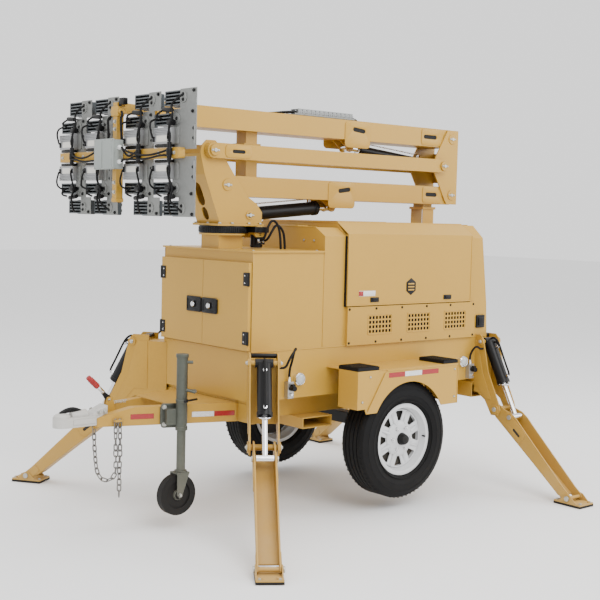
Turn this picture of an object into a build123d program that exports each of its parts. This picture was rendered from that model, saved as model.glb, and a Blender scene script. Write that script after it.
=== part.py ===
"""Mobile lighting tower on a single-axle trailer, in millimetres, +X to the rear and +Z up.

A steel trailer carries a generator enclosure and a front cabinet. A slewing turret on the cabinet
holds a folding boom of two box sections with a parallel link, and eight floodlights at its tip.
Four hydraulic outriggers stand the trailer on its pads. Every solid is built on the trailer's own
station line and moved to the middle of its box at the end.
"""
import os
from math import atan2, cos, degrees, hypot, radians, sin

from build123d import *

os.makedirs("parts", exist_ok=True)

# ---- driving sizes: body -------------------------------------------------------------------
BODY_HALF = 424.0            # half width of the lower body and the cabinet
BODY_FRONT = -704.0          # front face of the body
BODY_REAR = 1233.0           # rear face of the lower body
FRAME_TOP = 660.0            # top of the chassis rails
RAIL_H = 100.0               # height of the chassis rails and of the drawbar beams
RAIL_W = 50.0                # width of those rails
RAIL_WALL = 5.0
DECK_LENGTH = 340.0          # deck plate on the drawbar, ahead of the body
FLOOR_Z = 680.0              # underside of the lower body
DECK_Z = 955.0               # joint between the lower body and the upper housings
SHEET = 3.0                  # wall of the body shells
CABINET_REAR = -191.0        # rear face of the cabinet
CABINET_TOP = 1495.0         # top of the cabinet walls
ROOF_PLATE = 10.0            # thickness of the cabinet roof plate
ROOF_OVERHANG = 12.0
NECK_REAR = -30.0            # where the taller generator housing starts
NECK_TOP = 1636.0
NECK_SHOULDER = 1588.0
HOOD_TOP = 1665.0
HOOD_SHOULDER = 1603.0
HOOD_SHOULDER_REAR = 1587.0
ROOF_HALF = BODY_HALF - 80.0     # half width of the flat roof between the chamfers
REAR_TOP_X = 1162.0          # rear face at the top, which leans forward
DOOR_HALF = BODY_HALF + 21.0     # half width over the gull-wing doors and grille panels
DOOR_REAR = 1040.0
DOOR_BOTTOM = 1185.0
DOOR_SHEET = 3.0
GRILLE_FRONT = -20.0
GRILLE_REAR = 1083.0
GRILLE_TOP = 1180.0
GRILLE_HOLE = 17.0
GRILLE_PITCH = 27.0
GRILLE_COLUMNS, GRILLE_ROWS = 7, 4
CABINET_DOOR_GAP = 3.0
CABINET_DOOR_TOP = 1440.0
CABINET_DOOR_BOTTOM = 962.0
KNUCKLE_R, KNUCKLE_HALF = 7.5, 36.0   # the cabinet doors' round hinge knuckles
KNUCKLE_Z = (1030.0, 1350.0)

# ---- driving sizes: running gear -----------------------------------------------------------
AXLE_X = 264.0
HUB_Z = 412.0
TYRE_R = 345.0
TYRE_W = 205.0
TYRE_INNER = BODY_HALF + 41.0    # distance of the tyre's inner face from the centre line
TYRE_OUTER = TYRE_INNER + TYRE_W
RIM_R = 208.0                # outer radius of the rim flange
SKIRT_Y = TYRE_OUTER + 20.0      # outer face of the mudguard skirt
STEP_DEPTH = 160.0           # how far the step boxes reach in from the skirt
PAD_INNER = (BODY_HALF + 104.0, BODY_HALF + 64.0)   # inner edges of the front and rear step pads
AXLE_HALF = BODY_HALF - 12.0     # from the centre line to the outer face of the axle's trailing plates

# ---- driving sizes: drawbar ----------------------------------------------------------------
NOSE_X = -1658.0             # front of the coupler
SHOE_REAR = -1362.0          # rear end of the coupler's shoe
BEAM_FRONT = -1430.0         # where the two drawbar beams meet the coupler
BEAM_FRONT_Y = 50.0
BEAM_REAR_Y = 300.0          # outer face of the beams at the body
BALL_R = 25.6                # socket radius for a 50 mm tow ball
BALL_X = -1600.0
TAPER_DROP, TAPER_RUN = 52.0, 190.0   # how the beams are cut down towards the coupler
JOCKEY_X, JOCKEY_Y = -1040.0, -262.0
JOCKEY_TUBE_R, JOCKEY_LEG_R = 30.0, 24.0
JOCKEY_TOP = 946.0
JOCKEY_WHEEL_Z = 195.0
JOCKEY_WHEEL_R = 110.0
JOCKEY_TRAVEL = (-80.0, 150.0)

# ---- driving sizes: outriggers -------------------------------------------------------------
REAR_LEG_X = 1205.0          # rear outriggers point straight out
FRONT_LEG_X = -631.0         # front outriggers leave the body here and splay forward
FRONT_SPLAY = 35.0
FRONT_STANDOFF = 193.0       # length of the front arms' root box, along the splay
LEG_W = 116.0                # width over a leg's two side plates
PLATE = 8.0
ARM_GAP = 12.5               # from a leg's side plate to the arm's plate beside it
ARM_W = LEG_W + 2 * (ARM_GAP + PLATE)   # width over a fixed arm's two plates
PIVOT = (182.0, 504.0)       # leg pivot: distance out from the body side, and height
FOOT = (752.0, 43.0)         # foot pin
RAM_TOP = (47.0, 924.0)      # upper pin of the outrigger ram
EYE_ALONG, EYE_UP = 105.0, 36.0   # the ram's lower pin, along and above the leg's centre line
RAM_R, RAM_ROD_R = 39.0, 15.0
RAM_BARREL = 292.0
LEG_FOLD = 118.0             # degrees from standing to folded
EAR_GAP, EAR_T = 1.5, 6.0    # a foot's ears: clearance to the leg, and thickness
FOOT_PLATE = (190.0, LEG_W + 17.0, 10.0)
EYE_GAP = 4.0                # from a ram's rod eye to the leg's side plate
TOP_EYE_GAP = 22.5           # from a ram's top eye to the arm's plate
PAD_T = 12.0                 # rubber under each foot

# ---- driving sizes: turret and boom --------------------------------------------------------
TURRET_X = -603.0            # slewing axis
RING_R = 132.0
PEDESTAL_HALF = 84.0         # half width of the box under the slewing ring
RING_BASE, RING_TOP = 1590.0, 1633.0
TURRET_PIN = (-653.0, 1862.0)
BOOM_LENGTH = 1845.0         # between the lower boom's two pins
BOOM_HALF = 97.0             # half width of both booms
BOOM_WALL = 5.0
LOWER_H, UPPER_H = 116.0, 118.0
LINK_OFFSET = (-123.0, 185.0)    # parallel link pins, from the lower boom's pins
LINK_H, LINK_W = 84.0, 36.0
ELBOW_RISE = 368.0           # upper boom's pin above the lower boom's pin
ELBOW_LEAN = 7.0             # and how far it stands ahead of it
TIP_X = -1108.0              # end of the upper boom's box
TILT_PIN = (-1155.0, 2240.0)
PLATE_GAP = 4.0              # clearance between a boom and the plates outside it
BOOM_PLATE = 8.0
PIN_R = 20.0
RUNNING = 0.08               # radial clearance of a pin in its bore
LOW_RAM_BASE = (-492.0, 1695.0)
LOW_RAM_LUG = (197.0, 1759.0)
HIGH_RAM_BASE_OFFSET = (-147.0, 203.0)   # upper ram's base pin, from the elbow's lower pin
HIGH_RAM_LUG_OFFSET = (-849.0, -99.0)    # upper ram's lug pin, from the elbow's upper pin
LOW_RAM_R, HIGH_RAM_R = 40.0, 30.0
LOWER_LIFT = 70.0            # degrees of lift of the lower boom
UPPER_LIFT = 90.0

# ---- driving sizes: lamp head --------------------------------------------------------------
HEAD_Z = 1992.0
HEAD_BACK = -1275.0          # face of the frame that the lamp brackets bolt to
TUBE_D, TUBE_H = 40.0, 52.0
HEAD_HALF = 592.0
BANK_Y = (466.0, 184.0, -222.0, -504.0)   # near edge of each column of lamps
OUTER_BRACKET = 182.0        # width of the end column's bracket
INNER_BRACKET = 92.0
LAMP_ROWS = ((138.0, 204.0, 190.0, 0.0), (233.0, 314.0, 158.0, -58.0))   # edges, width, shift
DRIVER_ROW = (46.0, 128.0)
DRIVER_DEPTH, DRIVER_W = 36.0, 155.0


def block(x, y, z):
    """A box from ranges along X, Y and Z."""
    return Pos((x[0] + x[1]) / 2, (y[0] + y[1]) / 2, (z[0] + z[1]) / 2) * Box(
        abs(x[1] - x[0]), abs(y[1] - y[0]), abs(z[1] - z[0]))


def bar(start, end, radius):
    """A round bar from one point to another."""
    start, end = Vector(*start), Vector(*end)
    return Part() + Solid.make_cylinder(radius, (end - start).length,
                                        Plane(origin=start, z_dir=end - start))


def cross_bar(pin, half, radius, inner=None):
    """A round bar along Y, centred on the XZ point pin; with inner, one on each side."""
    x, z = pin
    if inner is None:
        return bar((x, -half, z), (x, half, z), radius)
    return (bar((x, inner, z), (x, half, z), radius)
            + bar((x, -half, z), (x, -inner, z), radius))


def prism(points, sweep):
    """A straight-sided solid: a flat outline carried along a vector."""
    face = Face(Wire.make_polygon([Vector(*p) for p in points]))
    return Part() + Solid.extrude(face, Vector(*sweep))


def side_plate(outline, y0, y1):
    """A plate cut to an XZ outline, between two Y values."""
    return prism([(x, y0, z) for x, z in outline], (0, y1 - y0, 0))


def cross_plate(outline, x0, x1):
    """A plate cut to a YZ outline, between two X values."""
    return prism([(x0, y, z) for y, z in outline], (x1 - x0, 0, 0))


def both_sides(piece):
    """The piece and its mirror image across the centre plane."""
    return piece + mirror(piece, Plane.XZ)


def joined(pieces):
    """All the pieces of a list as one part."""
    result = Part()
    for piece in pieces:
        result += piece
    return result


def bolted(*pieces):
    """Pieces that meet face to face and stay separate solids of one node."""
    return Part([solid for piece in pieces for solid in piece.solids()])


def tube_box(x, y, z, wall):
    """A square tube along X."""
    inner = block((x[0] - 1, x[1] + 1), (y[0] + wall, y[1] - wall), (z[0] + wall, z[1] - wall))
    return block(x, y, z) - inner


# ---- chassis -------------------------------------------------------------------------------

RAIL_Z = (FRAME_TOP - RAIL_H, FRAME_TOP)
RAIL_Y = (BEAM_REAR_Y - RAIL_W, BEAM_REAR_Y)
POCKET_X = (-324.0, -104.0)
POCKET_Z = (497.0, RAIL_Z[0])
POCKET_WALL = 6.0


def beam_outline(y_out_front, y_out_rear, width):
    """The four corners of one drawbar beam seen from above."""
    return [(BEAM_FRONT, y_out_front - width), (BEAM_FRONT, y_out_front),
            (BODY_FRONT, y_out_rear), (BODY_FRONT, y_out_rear - width)]


def beam_solid(inset):
    """The far drawbar beam, smaller all round by inset; the full one ends square at both ends."""
    low, high = RAIL_Z[0] + inset, RAIL_Z[1] - inset
    outline = beam_outline(BEAM_FRONT_Y - inset, BEAM_REAR_Y - inset, RAIL_W - 2 * inset)
    return prism([(x, y, low) for x, y in outline], (0, 0, high - low))


def drawbar_beam():
    """The far beam of the drawbar, a tube cut down and closed towards the coupler."""
    cut = side_plate([(BEAM_FRONT, FRAME_TOP), (BEAM_FRONT, FRAME_TOP - TAPER_DROP),
                      (BEAM_FRONT + TAPER_RUN, FRAME_TOP)], -1, BEAM_REAR_Y + 1)
    hollow = beam_solid(RAIL_WALL) - Pos(RAIL_WALL * 3, 0, -RAIL_WALL) * cut
    hollow -= block((BEAM_FRONT - 1, BEAM_FRONT + 40), (-1, BEAM_REAR_Y), RAIL_Z)
    return beam_solid(0) - cut - hollow


def rail_tube(x, y):
    """One straight chassis rail, an open tube along X."""
    return tube_box(x, y, RAIL_Z, RAIL_WALL)


def cross_tube(x_mid, half_y):
    """One cross member between the rails, a tube along Y."""
    return tube_y((x_mid - 30, x_mid + 30), (-half_y, half_y), RAIL_Z, RAIL_WALL)


def make_chassis():
    """Rails, cross members, drawbar, deck, forklift pocket and the brake lever's tower."""
    rails = both_sides(rail_tube((BODY_FRONT, BODY_REAR - 20), RAIL_Y) + drawbar_beam())
    crossings = [cross_tube(x, RAIL_Y[0]) for x in (POCKET_X[0] - 31, AXLE_X + 120)]
    outer = block(POCKET_X, (-BODY_HALF, BODY_HALF), POCKET_Z)
    opening = block((POCKET_X[0] + POCKET_WALL, POCKET_X[1] - POCKET_WALL),
                    (-BODY_HALF - 1, BODY_HALF + 1),
                    (POCKET_Z[0] + POCKET_WALL, POCKET_Z[1] - POCKET_WALL))
    outrigger_beams = []
    for x in (FRONT_LEG_X, REAR_LEG_X - 40):
        outrigger_beams.append(tube_y((x - 58, x + 58), (-RAIL_Y[0], RAIL_Y[0]), RAIL_Z, RAIL_WALL))
        outrigger_beams.append(both_sides(tube_y((x - 58, x + 58), (RAIL_Y[1], BODY_HALF), RAIL_Z,
                                                 RAIL_WALL)))
    feet = [block((x - 40, x + 40), (-BODY_HALF, BODY_HALF), (FRAME_TOP, FLOOR_Z))
            for x in (BODY_FRONT + 60, AXLE_X + 120, BODY_REAR - 60)]
    hangers = both_sides(block((AXLE_X - 60, AXLE_X + 60), RAIL_Y, (HUB_Z + 95, RAIL_Z[0])))
    deck_front = BODY_FRONT - DECK_LENGTH
    share = DECK_LENGTH / (BODY_FRONT - BEAM_FRONT)
    front_y = BEAM_REAR_Y - share * (BEAM_REAR_Y - BEAM_FRONT_Y)
    deck = prism([(deck_front, -front_y, FRAME_TOP), (deck_front, front_y, FRAME_TOP),
                  (BODY_FRONT, BEAM_REAR_Y, FRAME_TOP), (BODY_FRONT, -BEAM_REAR_Y, FRAME_TOP)],
                 (0, 0, 5))
    eyes = both_sides(block((CHAIN_EYE_X - 22, CHAIN_EYE_X + 22),
                            (chain_eye_y() - 14, chain_eye_y() + 30), (588, 600)))
    return joined([rails, *crossings, outer - opening, *outrigger_beams, *feet, hangers, deck, eyes,
                   brake_tower()])


# ---- outriggers ----------------------------------------------------------------------------

FRONT_ROOT_X = FRONT_LEG_X - FRONT_STANDOFF * sin(radians(FRONT_SPLAY))
FRONT_ROOT_Y = BODY_HALF + FRONT_STANDOFF * cos(radians(FRONT_SPLAY))
CORNERS = {
    "front_near": (FRONT_ROOT_X, -FRONT_ROOT_Y, -90.0 - FRONT_SPLAY),
    "front_far": (FRONT_ROOT_X, FRONT_ROOT_Y, 90.0 + FRONT_SPLAY),
    "rear_near": (REAR_LEG_X, -BODY_HALF, -90.0),
    "rear_far": (REAR_LEG_X, BODY_HALF, 90.0),
}
CHAIN_EYE_X = -1334.0
LEG_RUN, LEG_DROP = FOOT[0] - PIVOT[0], PIVOT[1] - FOOT[1]
LEG_LENGTH = hypot(LEG_RUN, LEG_DROP)
LEG_SLOPE = atan2(LEG_DROP, LEG_RUN)
ALONG = (cos(LEG_SLOPE), -sin(LEG_SLOPE))
ABOVE = (sin(LEG_SLOPE), cos(LEG_SLOPE))


def chain_eye_y():
    """Distance of a safety chain's eye from the centre line."""
    share = (CHAIN_EYE_X - BEAM_FRONT) / (BODY_FRONT - BEAM_FRONT)
    return BEAM_FRONT_Y + share * (BEAM_REAR_Y - BEAM_FRONT_Y)


def on_leg(along, above):
    """A point of the leg's own outline, in the outrigger's plane."""
    return (PIVOT[0] + along * ALONG[0] + above * ABOVE[0],
            PIVOT[1] + along * ALONG[1] + above * ABOVE[1])


EYE = on_leg(EYE_ALONG, EYE_UP)


def turned(point, centre, angle):
    """A point of the outrigger's plane turned about another by an angle in degrees."""
    dx, dz = point[0] - centre[0], point[1] - centre[1]
    c, s = cos(radians(angle)), sin(radians(angle))
    return centre[0] + dx * c - dz * s, centre[1] + dx * s + dz * c


def reach(base, lug):
    """Length and direction, in degrees, of a ram from its base pin to its lug."""
    dx, dz = lug[0] - base[0], lug[1] - base[1]
    return hypot(dx, dz), degrees(atan2(dz, dx))


LEG_RAM_LENGTH, LEG_RAM_ANGLE = reach(RAM_TOP, EYE)
FOLDED_LENGTH, FOLDED_ANGLE = reach(RAM_TOP, turned(EYE, PIVOT, LEG_FOLD))


def place_leg(piece, corner):
    """Moves a piece from the outrigger's own plane to one corner of the trailer."""
    x, y, heading = CORNERS[corner]
    return Pos(x, y, 0) * Rot(0, 0, heading) * piece


def fixed_arm():
    """The two plates and back channel that hold one leg, with the leg and ram pins."""
    outline = [(-60, 968), (40, 968), (66, 940), (114, 735), (210, 540), (222, 500),
               (204, 466), (150, 464), (96, 552), (30, 596), (-60, 596)]
    half = ARM_W / 2
    plates = both_sides(side_plate(outline, half - PLATE, half))
    back = block((-60, 14), (-half, half), (596, 930))
    pins = cross_bar(PIVOT, half + 6, 16.0) + cross_bar(RAM_TOP, half + 6, 14.0)
    heads = cross_bar(PIVOT, half + 8, 30.0, half) + cross_bar(RAM_TOP, half + 8, 24.0, half)
    return joined([plates, back, pins, heads])


def root_box():
    """The hollow box that stands a front arm off the body's corner."""
    half = ARM_W / 2
    shell = block((-FRONT_STANDOFF - 60, -40), (-half, half), (596, 930))
    hollow = block((-FRONT_STANDOFF - 61, -39), (-half + PLATE, half - PLATE), (604, 922))
    return shell - hollow


def make_arms(chassis):
    """All four fixed arms with the front ones' root boxes, cut away where the body and chassis are."""
    arms = [place_leg(fixed_arm(), corner) for corner in CORNERS]
    arms += [place_leg(root_box(), corner) for corner in CORNERS if corner.startswith("front")]
    body_space = block((BODY_FRONT, BODY_REAR), (-BODY_HALF, BODY_HALF), (FRAME_TOP - 200, 1400))
    return joined(arms) - body_space - chassis


def leg():
    """A folded channel with deep side plates at the ram, open on top."""
    half = LEG_W / 2
    outline = [on_leg(*p) for p in (
        (-28, -22), (-8, -40), (30, -46), (LEG_LENGTH - 40, -36), (LEG_LENGTH - 4, -24),
        (LEG_LENGTH + 18, -8), (LEG_LENGTH + 18, 10), (LEG_LENGTH, 22), (LEG_LENGTH - 60, 22),
        (205, 60), (150, 66), (95, 62), (40, 40), (-8, 34), (-28, 18))]
    sides = both_sides(side_plate(outline, half - PLATE, half))
    web = side_plate([on_leg(*p) for p in (
        (26, -46), (LEG_LENGTH - 46, -36), (LEG_LENGTH - 46, -36 + PLATE), (26, -46 + PLATE))],
        -half, half)
    body = sides + web
    body -= cross_bar(PIVOT, ARM_W, 16.0 + RUNNING)
    body -= cross_bar(FOOT, ARM_W, 11.0 + RUNNING)
    lugs = cross_bar(EYE, half + 9, 13.0, half - PLATE) + cross_bar(EYE, half + 5, 22.0, half)
    return body + lugs


def leg_barrel():
    """The ram's barrel with a cross eye, bored for its rod and piston."""
    x, z = RAM_TOP
    direction = Vector(cos(radians(LEG_RAM_ANGLE)), 0, sin(radians(LEG_RAM_ANGLE)))
    top = Vector(x, 0, z)
    solid = bar(top + direction * 10, top + direction * RAM_BARREL, RAM_R)
    solid -= bar(top + direction * 42, top + direction * (RAM_BARREL - 22), RAM_R - 6)
    solid -= bar(top + direction * 40, top + direction * (RAM_BARREL + 5), RAM_ROD_R + 0.3)
    solid += bar(top + direction * (RAM_BARREL - 22), top + direction * RAM_BARREL, RAM_R + 3) - bar(
        top + direction * (RAM_BARREL - 30), top + direction * (RAM_BARREL + 5), RAM_ROD_R + 0.3)
    solid += cross_bar(RAM_TOP, ARM_W / 2 - PLATE - TOP_EYE_GAP, 24.0)
    return solid - cross_bar(RAM_TOP, ARM_W, 14.0 + RUNNING)


def leg_rod():
    """The ram's chromed rod with its piston and cross eye; the leg's lug pins clear the eye."""
    direction = Vector(cos(radians(LEG_RAM_ANGLE)), 0, sin(radians(LEG_RAM_ANGLE)))
    top = Vector(RAM_TOP[0], 0, RAM_TOP[1])
    inner = RAM_BARREL - 62
    solid = bar(top + direction * inner, top + direction * (LEG_RAM_LENGTH - 8), RAM_ROD_R)
    solid += bar(top + direction * inner, top + direction * (inner + 28), RAM_R - 6.4)
    return solid + cross_bar(EYE, LEG_W / 2 - PLATE - EYE_GAP, 21.0)


def foot():
    """A foot plate with two ears, a pin through the leg, two bolts and a rubber sole."""
    x, z = FOOT
    length, width, thick = FOOT_PLATE
    plate = block((x - length / 2, x + length / 2), (-width / 2, width / 2), (PAD_T, PAD_T + thick))
    sole = block((x - length / 2, x + length / 2), (-width / 2, width / 2), (0, PAD_T))
    ear_in = LEG_W / 2 + EAR_GAP
    outline = [(x - 62, PAD_T + thick), (x + 62, PAD_T + thick), (x + 20, z + 18),
               (x, z + 24), (x - 20, z + 18)]
    ears = both_sides(side_plate(outline, ear_in, ear_in + EAR_T))
    pin = cross_bar(FOOT, ear_in + 2 * EAR_T, 11.0)
    bolts = [bar((x + 80, y, PAD_T + thick), (x + 80, y, PAD_T + thick + 8), 9.0)
             for y in (-40, 40)]
    return joined([plate, sole, ears, pin, *bolts])


# ---- body ----------------------------------------------------------------------------------

LATCH_Y = 76.0
LATCH_Z = 1184.0
LATCH_PLATE = (8.0, 70.0, 43.0)   # depth, half width and half height of a latch's fixed plate


def make_lower_body():
    """The tray that joins the chassis to the housings."""
    outer = block((BODY_FRONT, BODY_REAR), (-BODY_HALF, BODY_HALF), (FLOOR_Z, DECK_Z))
    inner = block((BODY_FRONT + SHEET, BODY_REAR - SHEET),
                  (-BODY_HALF + SHEET, BODY_HALF - SHEET), (FLOOR_Z + SHEET, DECK_Z + 1))
    return outer - inner


def make_cabinet():
    """Front cabinet with its roof plate, door frame and the slewing pedestal on top."""
    outer = block((BODY_FRONT, CABINET_REAR), (-BODY_HALF, BODY_HALF), (DECK_Z, CABINET_TOP))
    inner = block((BODY_FRONT - 1, CABINET_REAR - SHEET),
                  (-BODY_HALF + SHEET, BODY_HALF - SHEET), (DECK_Z + SHEET, CABINET_TOP - SHEET))
    frame = block((BODY_FRONT, BODY_FRONT + 30), (-BODY_HALF, BODY_HALF), (DECK_Z, CABINET_TOP))
    frame -= block((BODY_FRONT - 1, BODY_FRONT + 31), (-BODY_HALF + 32, BODY_HALF - 32),
                   (CABINET_DOOR_BOTTOM + 24, CABINET_DOOR_TOP - 24))
    roof = block((BODY_FRONT - ROOF_OVERHANG, CABINET_REAR),
                 (-BODY_HALF - ROOF_OVERHANG, BODY_HALF + ROOF_OVERHANG),
                 (CABINET_TOP, CABINET_TOP + ROOF_PLATE))
    roof_z = CABINET_TOP + ROOF_PLATE
    hollow = PEDESTAL_HALF - 8
    pedestal = block((TURRET_X - PEDESTAL_HALF, TURRET_X + PEDESTAL_HALF),
                     (-PEDESTAL_HALF, PEDESTAL_HALF), (roof_z, RING_BASE - 10))
    pedestal -= block((TURRET_X - hollow, TURRET_X + hollow), (-hollow, hollow),
                      (roof_z - 1, RING_BASE - 18))
    flange = bar((TURRET_X, 0, RING_BASE - 10), (TURRET_X, 0, RING_BASE), RING_R)
    return joined([outer - inner, frame, roof, pedestal, flange])


def cabinet_door(side):
    """One front door, its hinges at the cabinet's corner; side is -1 for the near door."""
    y_out = side * (BODY_HALF - 4)
    y_in = side * CABINET_DOOR_GAP / 2
    face = block((BODY_FRONT - 26, BODY_FRONT - 2), tuple(sorted((y_in, y_out))),
                 (CABINET_DOOR_BOTTOM, CABINET_DOOR_TOP))
    back = block((BODY_FRONT - 23, BODY_FRONT), tuple(sorted((y_in + side * 12, y_out - side * 12))),
                 (CABINET_DOOR_BOTTOM + 12, CABINET_DOOR_TOP - 12))
    door = face - back
    depth, half_y, half_z = LATCH_PLATE
    plate_front = BODY_FRONT - 26 - depth
    plate = block((plate_front, BODY_FRONT - 26),
                  (side * LATCH_Y - half_y, side * LATCH_Y + half_y), (LATCH_Z - half_z, LATCH_Z + half_z))
    seat = bar((plate_front - 1, side * LATCH_Y, LATCH_Z), (BODY_FRONT - 15, side * LATCH_Y, LATCH_Z),
               10.0 + RUNNING)
    knuckles = [bar((BODY_FRONT - 26, y_out, z - KNUCKLE_HALF), (BODY_FRONT - 26, y_out, z + KNUCKLE_HALF),
                    KNUCKLE_R) for z in KNUCKLE_Z]
    return joined([door + plate - seat, *knuckles])


def door_latch(side):
    """A round key boss with a turning bar, and its spindle through the plate and door."""
    y = side * LATCH_Y
    front = BODY_FRONT - 26 - LATCH_PLATE[0]
    boss = bar((front - 6, y, LATCH_Z), (front, y, LATCH_Z), 17.0)
    key = block((front - 14, front - 6), (y - 5, y + 5), (LATCH_Z - 15, LATCH_Z + 15))
    spindle = bar((front, y, LATCH_Z), (BODY_FRONT - 16, y, LATCH_Z), 10.0)
    return joined([boss, key, spindle])


def section(half, base, shoulder, top):
    """Outline of a housing with chamfered roof edges, seen along X."""
    return [(-half, base), (-half, shoulder), (-ROOF_HALF, top), (ROOF_HALF, top),
            (half, shoulder), (half, base)]


def make_enclosure():
    """The generator housing: neck, hood and leaning rear post, with both side openings."""
    neck = cross_plate(section(BODY_HALF, DECK_Z, NECK_SHOULDER, NECK_TOP), CABINET_REAR, NECK_REAR)
    neck -= cross_plate(section(BODY_HALF - SHEET, DECK_Z - 1, NECK_SHOULDER - 2, NECK_TOP - SHEET),
                        CABINET_REAR + SHEET, NECK_REAR + 1)
    lean = side_plate([(BODY_REAR + 100, DECK_Z - 1), (BODY_REAR + 100, HOOD_TOP + 1),
                       (REAR_TOP_X - 8, HOOD_TOP + 1), (REAR_TOP_X, HOOD_SHOULDER_REAR),
                       (BODY_REAR - 14, 1170), (BODY_REAR, DECK_Z)], -500, 500)
    hood = cross_plate(section(BODY_HALF, DECK_Z, HOOD_SHOULDER_REAR, HOOD_TOP), NECK_REAR, BODY_REAR)
    hollow = cross_plate(section(BODY_HALF - SHEET, DECK_Z - 1, HOOD_SHOULDER_REAR - 2,
                                 HOOD_TOP - SHEET), NECK_REAR - 1, BODY_REAR)
    hood -= hollow - Pos(-SHEET, 0, 0) * lean
    bulkhead = cross_plate(section(BODY_HALF, DECK_Z, HOOD_SHOULDER_REAR, HOOD_TOP),
                           NECK_REAR, NECK_REAR + SHEET)
    bulkhead -= block((NECK_REAR - 1, NECK_REAR + SHEET + 1), (-300, 300), (DECK_Z + 40, 1540))
    shell = neck + hood - lean + bulkhead
    opening = block((NECK_REAR + 40, DOOR_REAR - 30), (-BODY_HALF - 1, BODY_HALF + 1),
                    (DOOR_BOTTOM + 30, HOOD_SHOULDER_REAR - 30))
    louvre_back = block((GRILLE_FRONT + 30, GRILLE_REAR - 40), (-BODY_HALF - 1, BODY_HALF + 1),
                        (DECK_Z + 30, GRILLE_TOP - 30))
    shell -= opening
    shell -= louvre_back
    return shell


def make_boom_rest():
    """The short post on the hood that carries the folded lower boom."""
    rest = tube_box((BOOM_REST_X - 50, BOOM_REST_X + 50), (-55, 55), (HOOD_TOP, REST_SEAM_Z), 6)
    return rest + block((BOOM_REST_X - 60, BOOM_REST_X + 60), (-62, 62), (REST_SEAM_Z - 8, REST_SEAM_Z))


def gull_door(side):
    """One lifting side door: a flat side and a chamfer, hinged on the roof edge."""
    outer = [(side * DOOR_HALF, DOOR_BOTTOM), (side * DOOR_HALF, HOOD_SHOULDER),
             (side * ROOF_HALF, HOOD_TOP + 6), (side * ROOF_HALF, HOOD_TOP + 2),
             (side * (DOOR_HALF - DOOR_SHEET), HOOD_SHOULDER - 3),
             (side * (DOOR_HALF - DOOR_SHEET), DOOR_BOTTOM)]
    panel = cross_plate(outer, NECK_REAR, DOOR_REAR)
    lips = [block((x, x + 3), tuple(sorted((side * (BODY_HALF + 1), side * (DOOR_HALF - 1)))),
                  (DOOR_BOTTOM, HOOD_SHOULDER - 4)) for x in (NECK_REAR, DOOR_REAR - 3)]
    low = block((NECK_REAR, DOOR_REAR), tuple(sorted((side * (BODY_HALF + 1), side * (DOOR_HALF - 1)))),
                (DOOR_BOTTOM, DOOR_BOTTOM + 3))
    tube = bar((NECK_REAR, side * ROOF_HALF, HOOD_TOP + 5), (DOOR_REAR, side * ROOF_HALF, HOOD_TOP + 5),
               4.5)
    return joined([panel, *lips, low, tube])


def make_grilles():
    """The two bolted side panels with three groups of square holes each."""
    y = (-DOOR_HALF, -BODY_HALF)
    panel = block((GRILLE_FRONT, GRILLE_REAR), y, (DECK_Z, GRILLE_TOP))
    panel -= block((GRILLE_FRONT + 3, GRILLE_REAR - 3), (-DOOR_HALF + 3, -BODY_HALF + 1),
                   (DECK_Z + 3, GRILLE_TOP - 3))
    step = (GRILLE_REAR - GRILLE_FRONT) / 3.36
    first = GRILLE_FRONT + step * 0.80
    holes = [Pos(first + group * step + (column - 3) * GRILLE_PITCH, -DOOR_HALF,
                 (DECK_Z + GRILLE_TOP) / 2 + 4 + (row - 1.5) * GRILLE_PITCH)
             * Box(GRILLE_HOLE, 12, GRILLE_HOLE)
             for group in range(3) for column in range(GRILLE_COLUMNS) for row in range(GRILLE_ROWS)]
    return both_sides(panel - holes)


def make_generator():
    """Engine, alternator and radiator, on two rails on the lower body's floor."""
    floor = FLOOR_Z + SHEET
    rails = both_sides(block((0, 1100), (150, 190), (floor, floor + 60)))
    top = floor + 60
    engine = block((420, 820), (-190, 190), (top, top + 420))
    sump = block((460, 780), (-120, 120), (top + 420, top + 520))
    alternator = bar((120, 0, top + 200), (420, 0, top + 200), 180)
    radiator = block((900, 960), (-300, 300), (top, top + 560))
    shaft = bar((820, 0, top + 240), (900, 0, top + 240), 30)
    saddle = block((150, 390), (-190, 190), (top, top + 60))
    return joined([rails, engine, sump, alternator, radiator, shaft, saddle])


# ---- running gear --------------------------------------------------------------------------

SPINDLE_R = 18.0
RIM_BORE_R = SPINDLE_R + RUNNING
TYRE_MID = TYRE_OUTER - TYRE_W / 2


def make_axle():
    """Square axle beam with trailing plates and stub spindles."""
    beam = block((AXLE_X - 35, AXLE_X + 35), (2 - AXLE_HALF, AXLE_HALF - 2), (HUB_Z + 25, HUB_Z + 95))
    arm = side_plate([(AXLE_X - 50, HUB_Z + 100), (AXLE_X + 50, HUB_Z + 100),
                      (AXLE_X + 40, HUB_Z - 40), (AXLE_X - 40, HUB_Z - 40)],
                     AXLE_HALF - 14, AXLE_HALF)
    spindle = bar((AXLE_X, AXLE_HALF, HUB_Z), (AXLE_X, TYRE_OUTER - 30, HUB_Z), SPINDLE_R)
    drum = bar((AXLE_X, AXLE_HALF, HUB_Z), (AXLE_X, TYRE_INNER - 25, HUB_Z), 60)
    return beam + both_sides(arm + spindle + drum)


def ring_profile(points, side):
    """A solid of revolution about the wheel's axis, from radius and offset points."""
    wire = Wire.make_polygon([Vector(AXLE_X, side * (TYRE_MID + off), HUB_Z + r) for r, off in points])
    return Part() + Solid.revolve(Face(wire), 360, Axis((AXLE_X, 0, HUB_Z), (0, 1, 0)))


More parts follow.
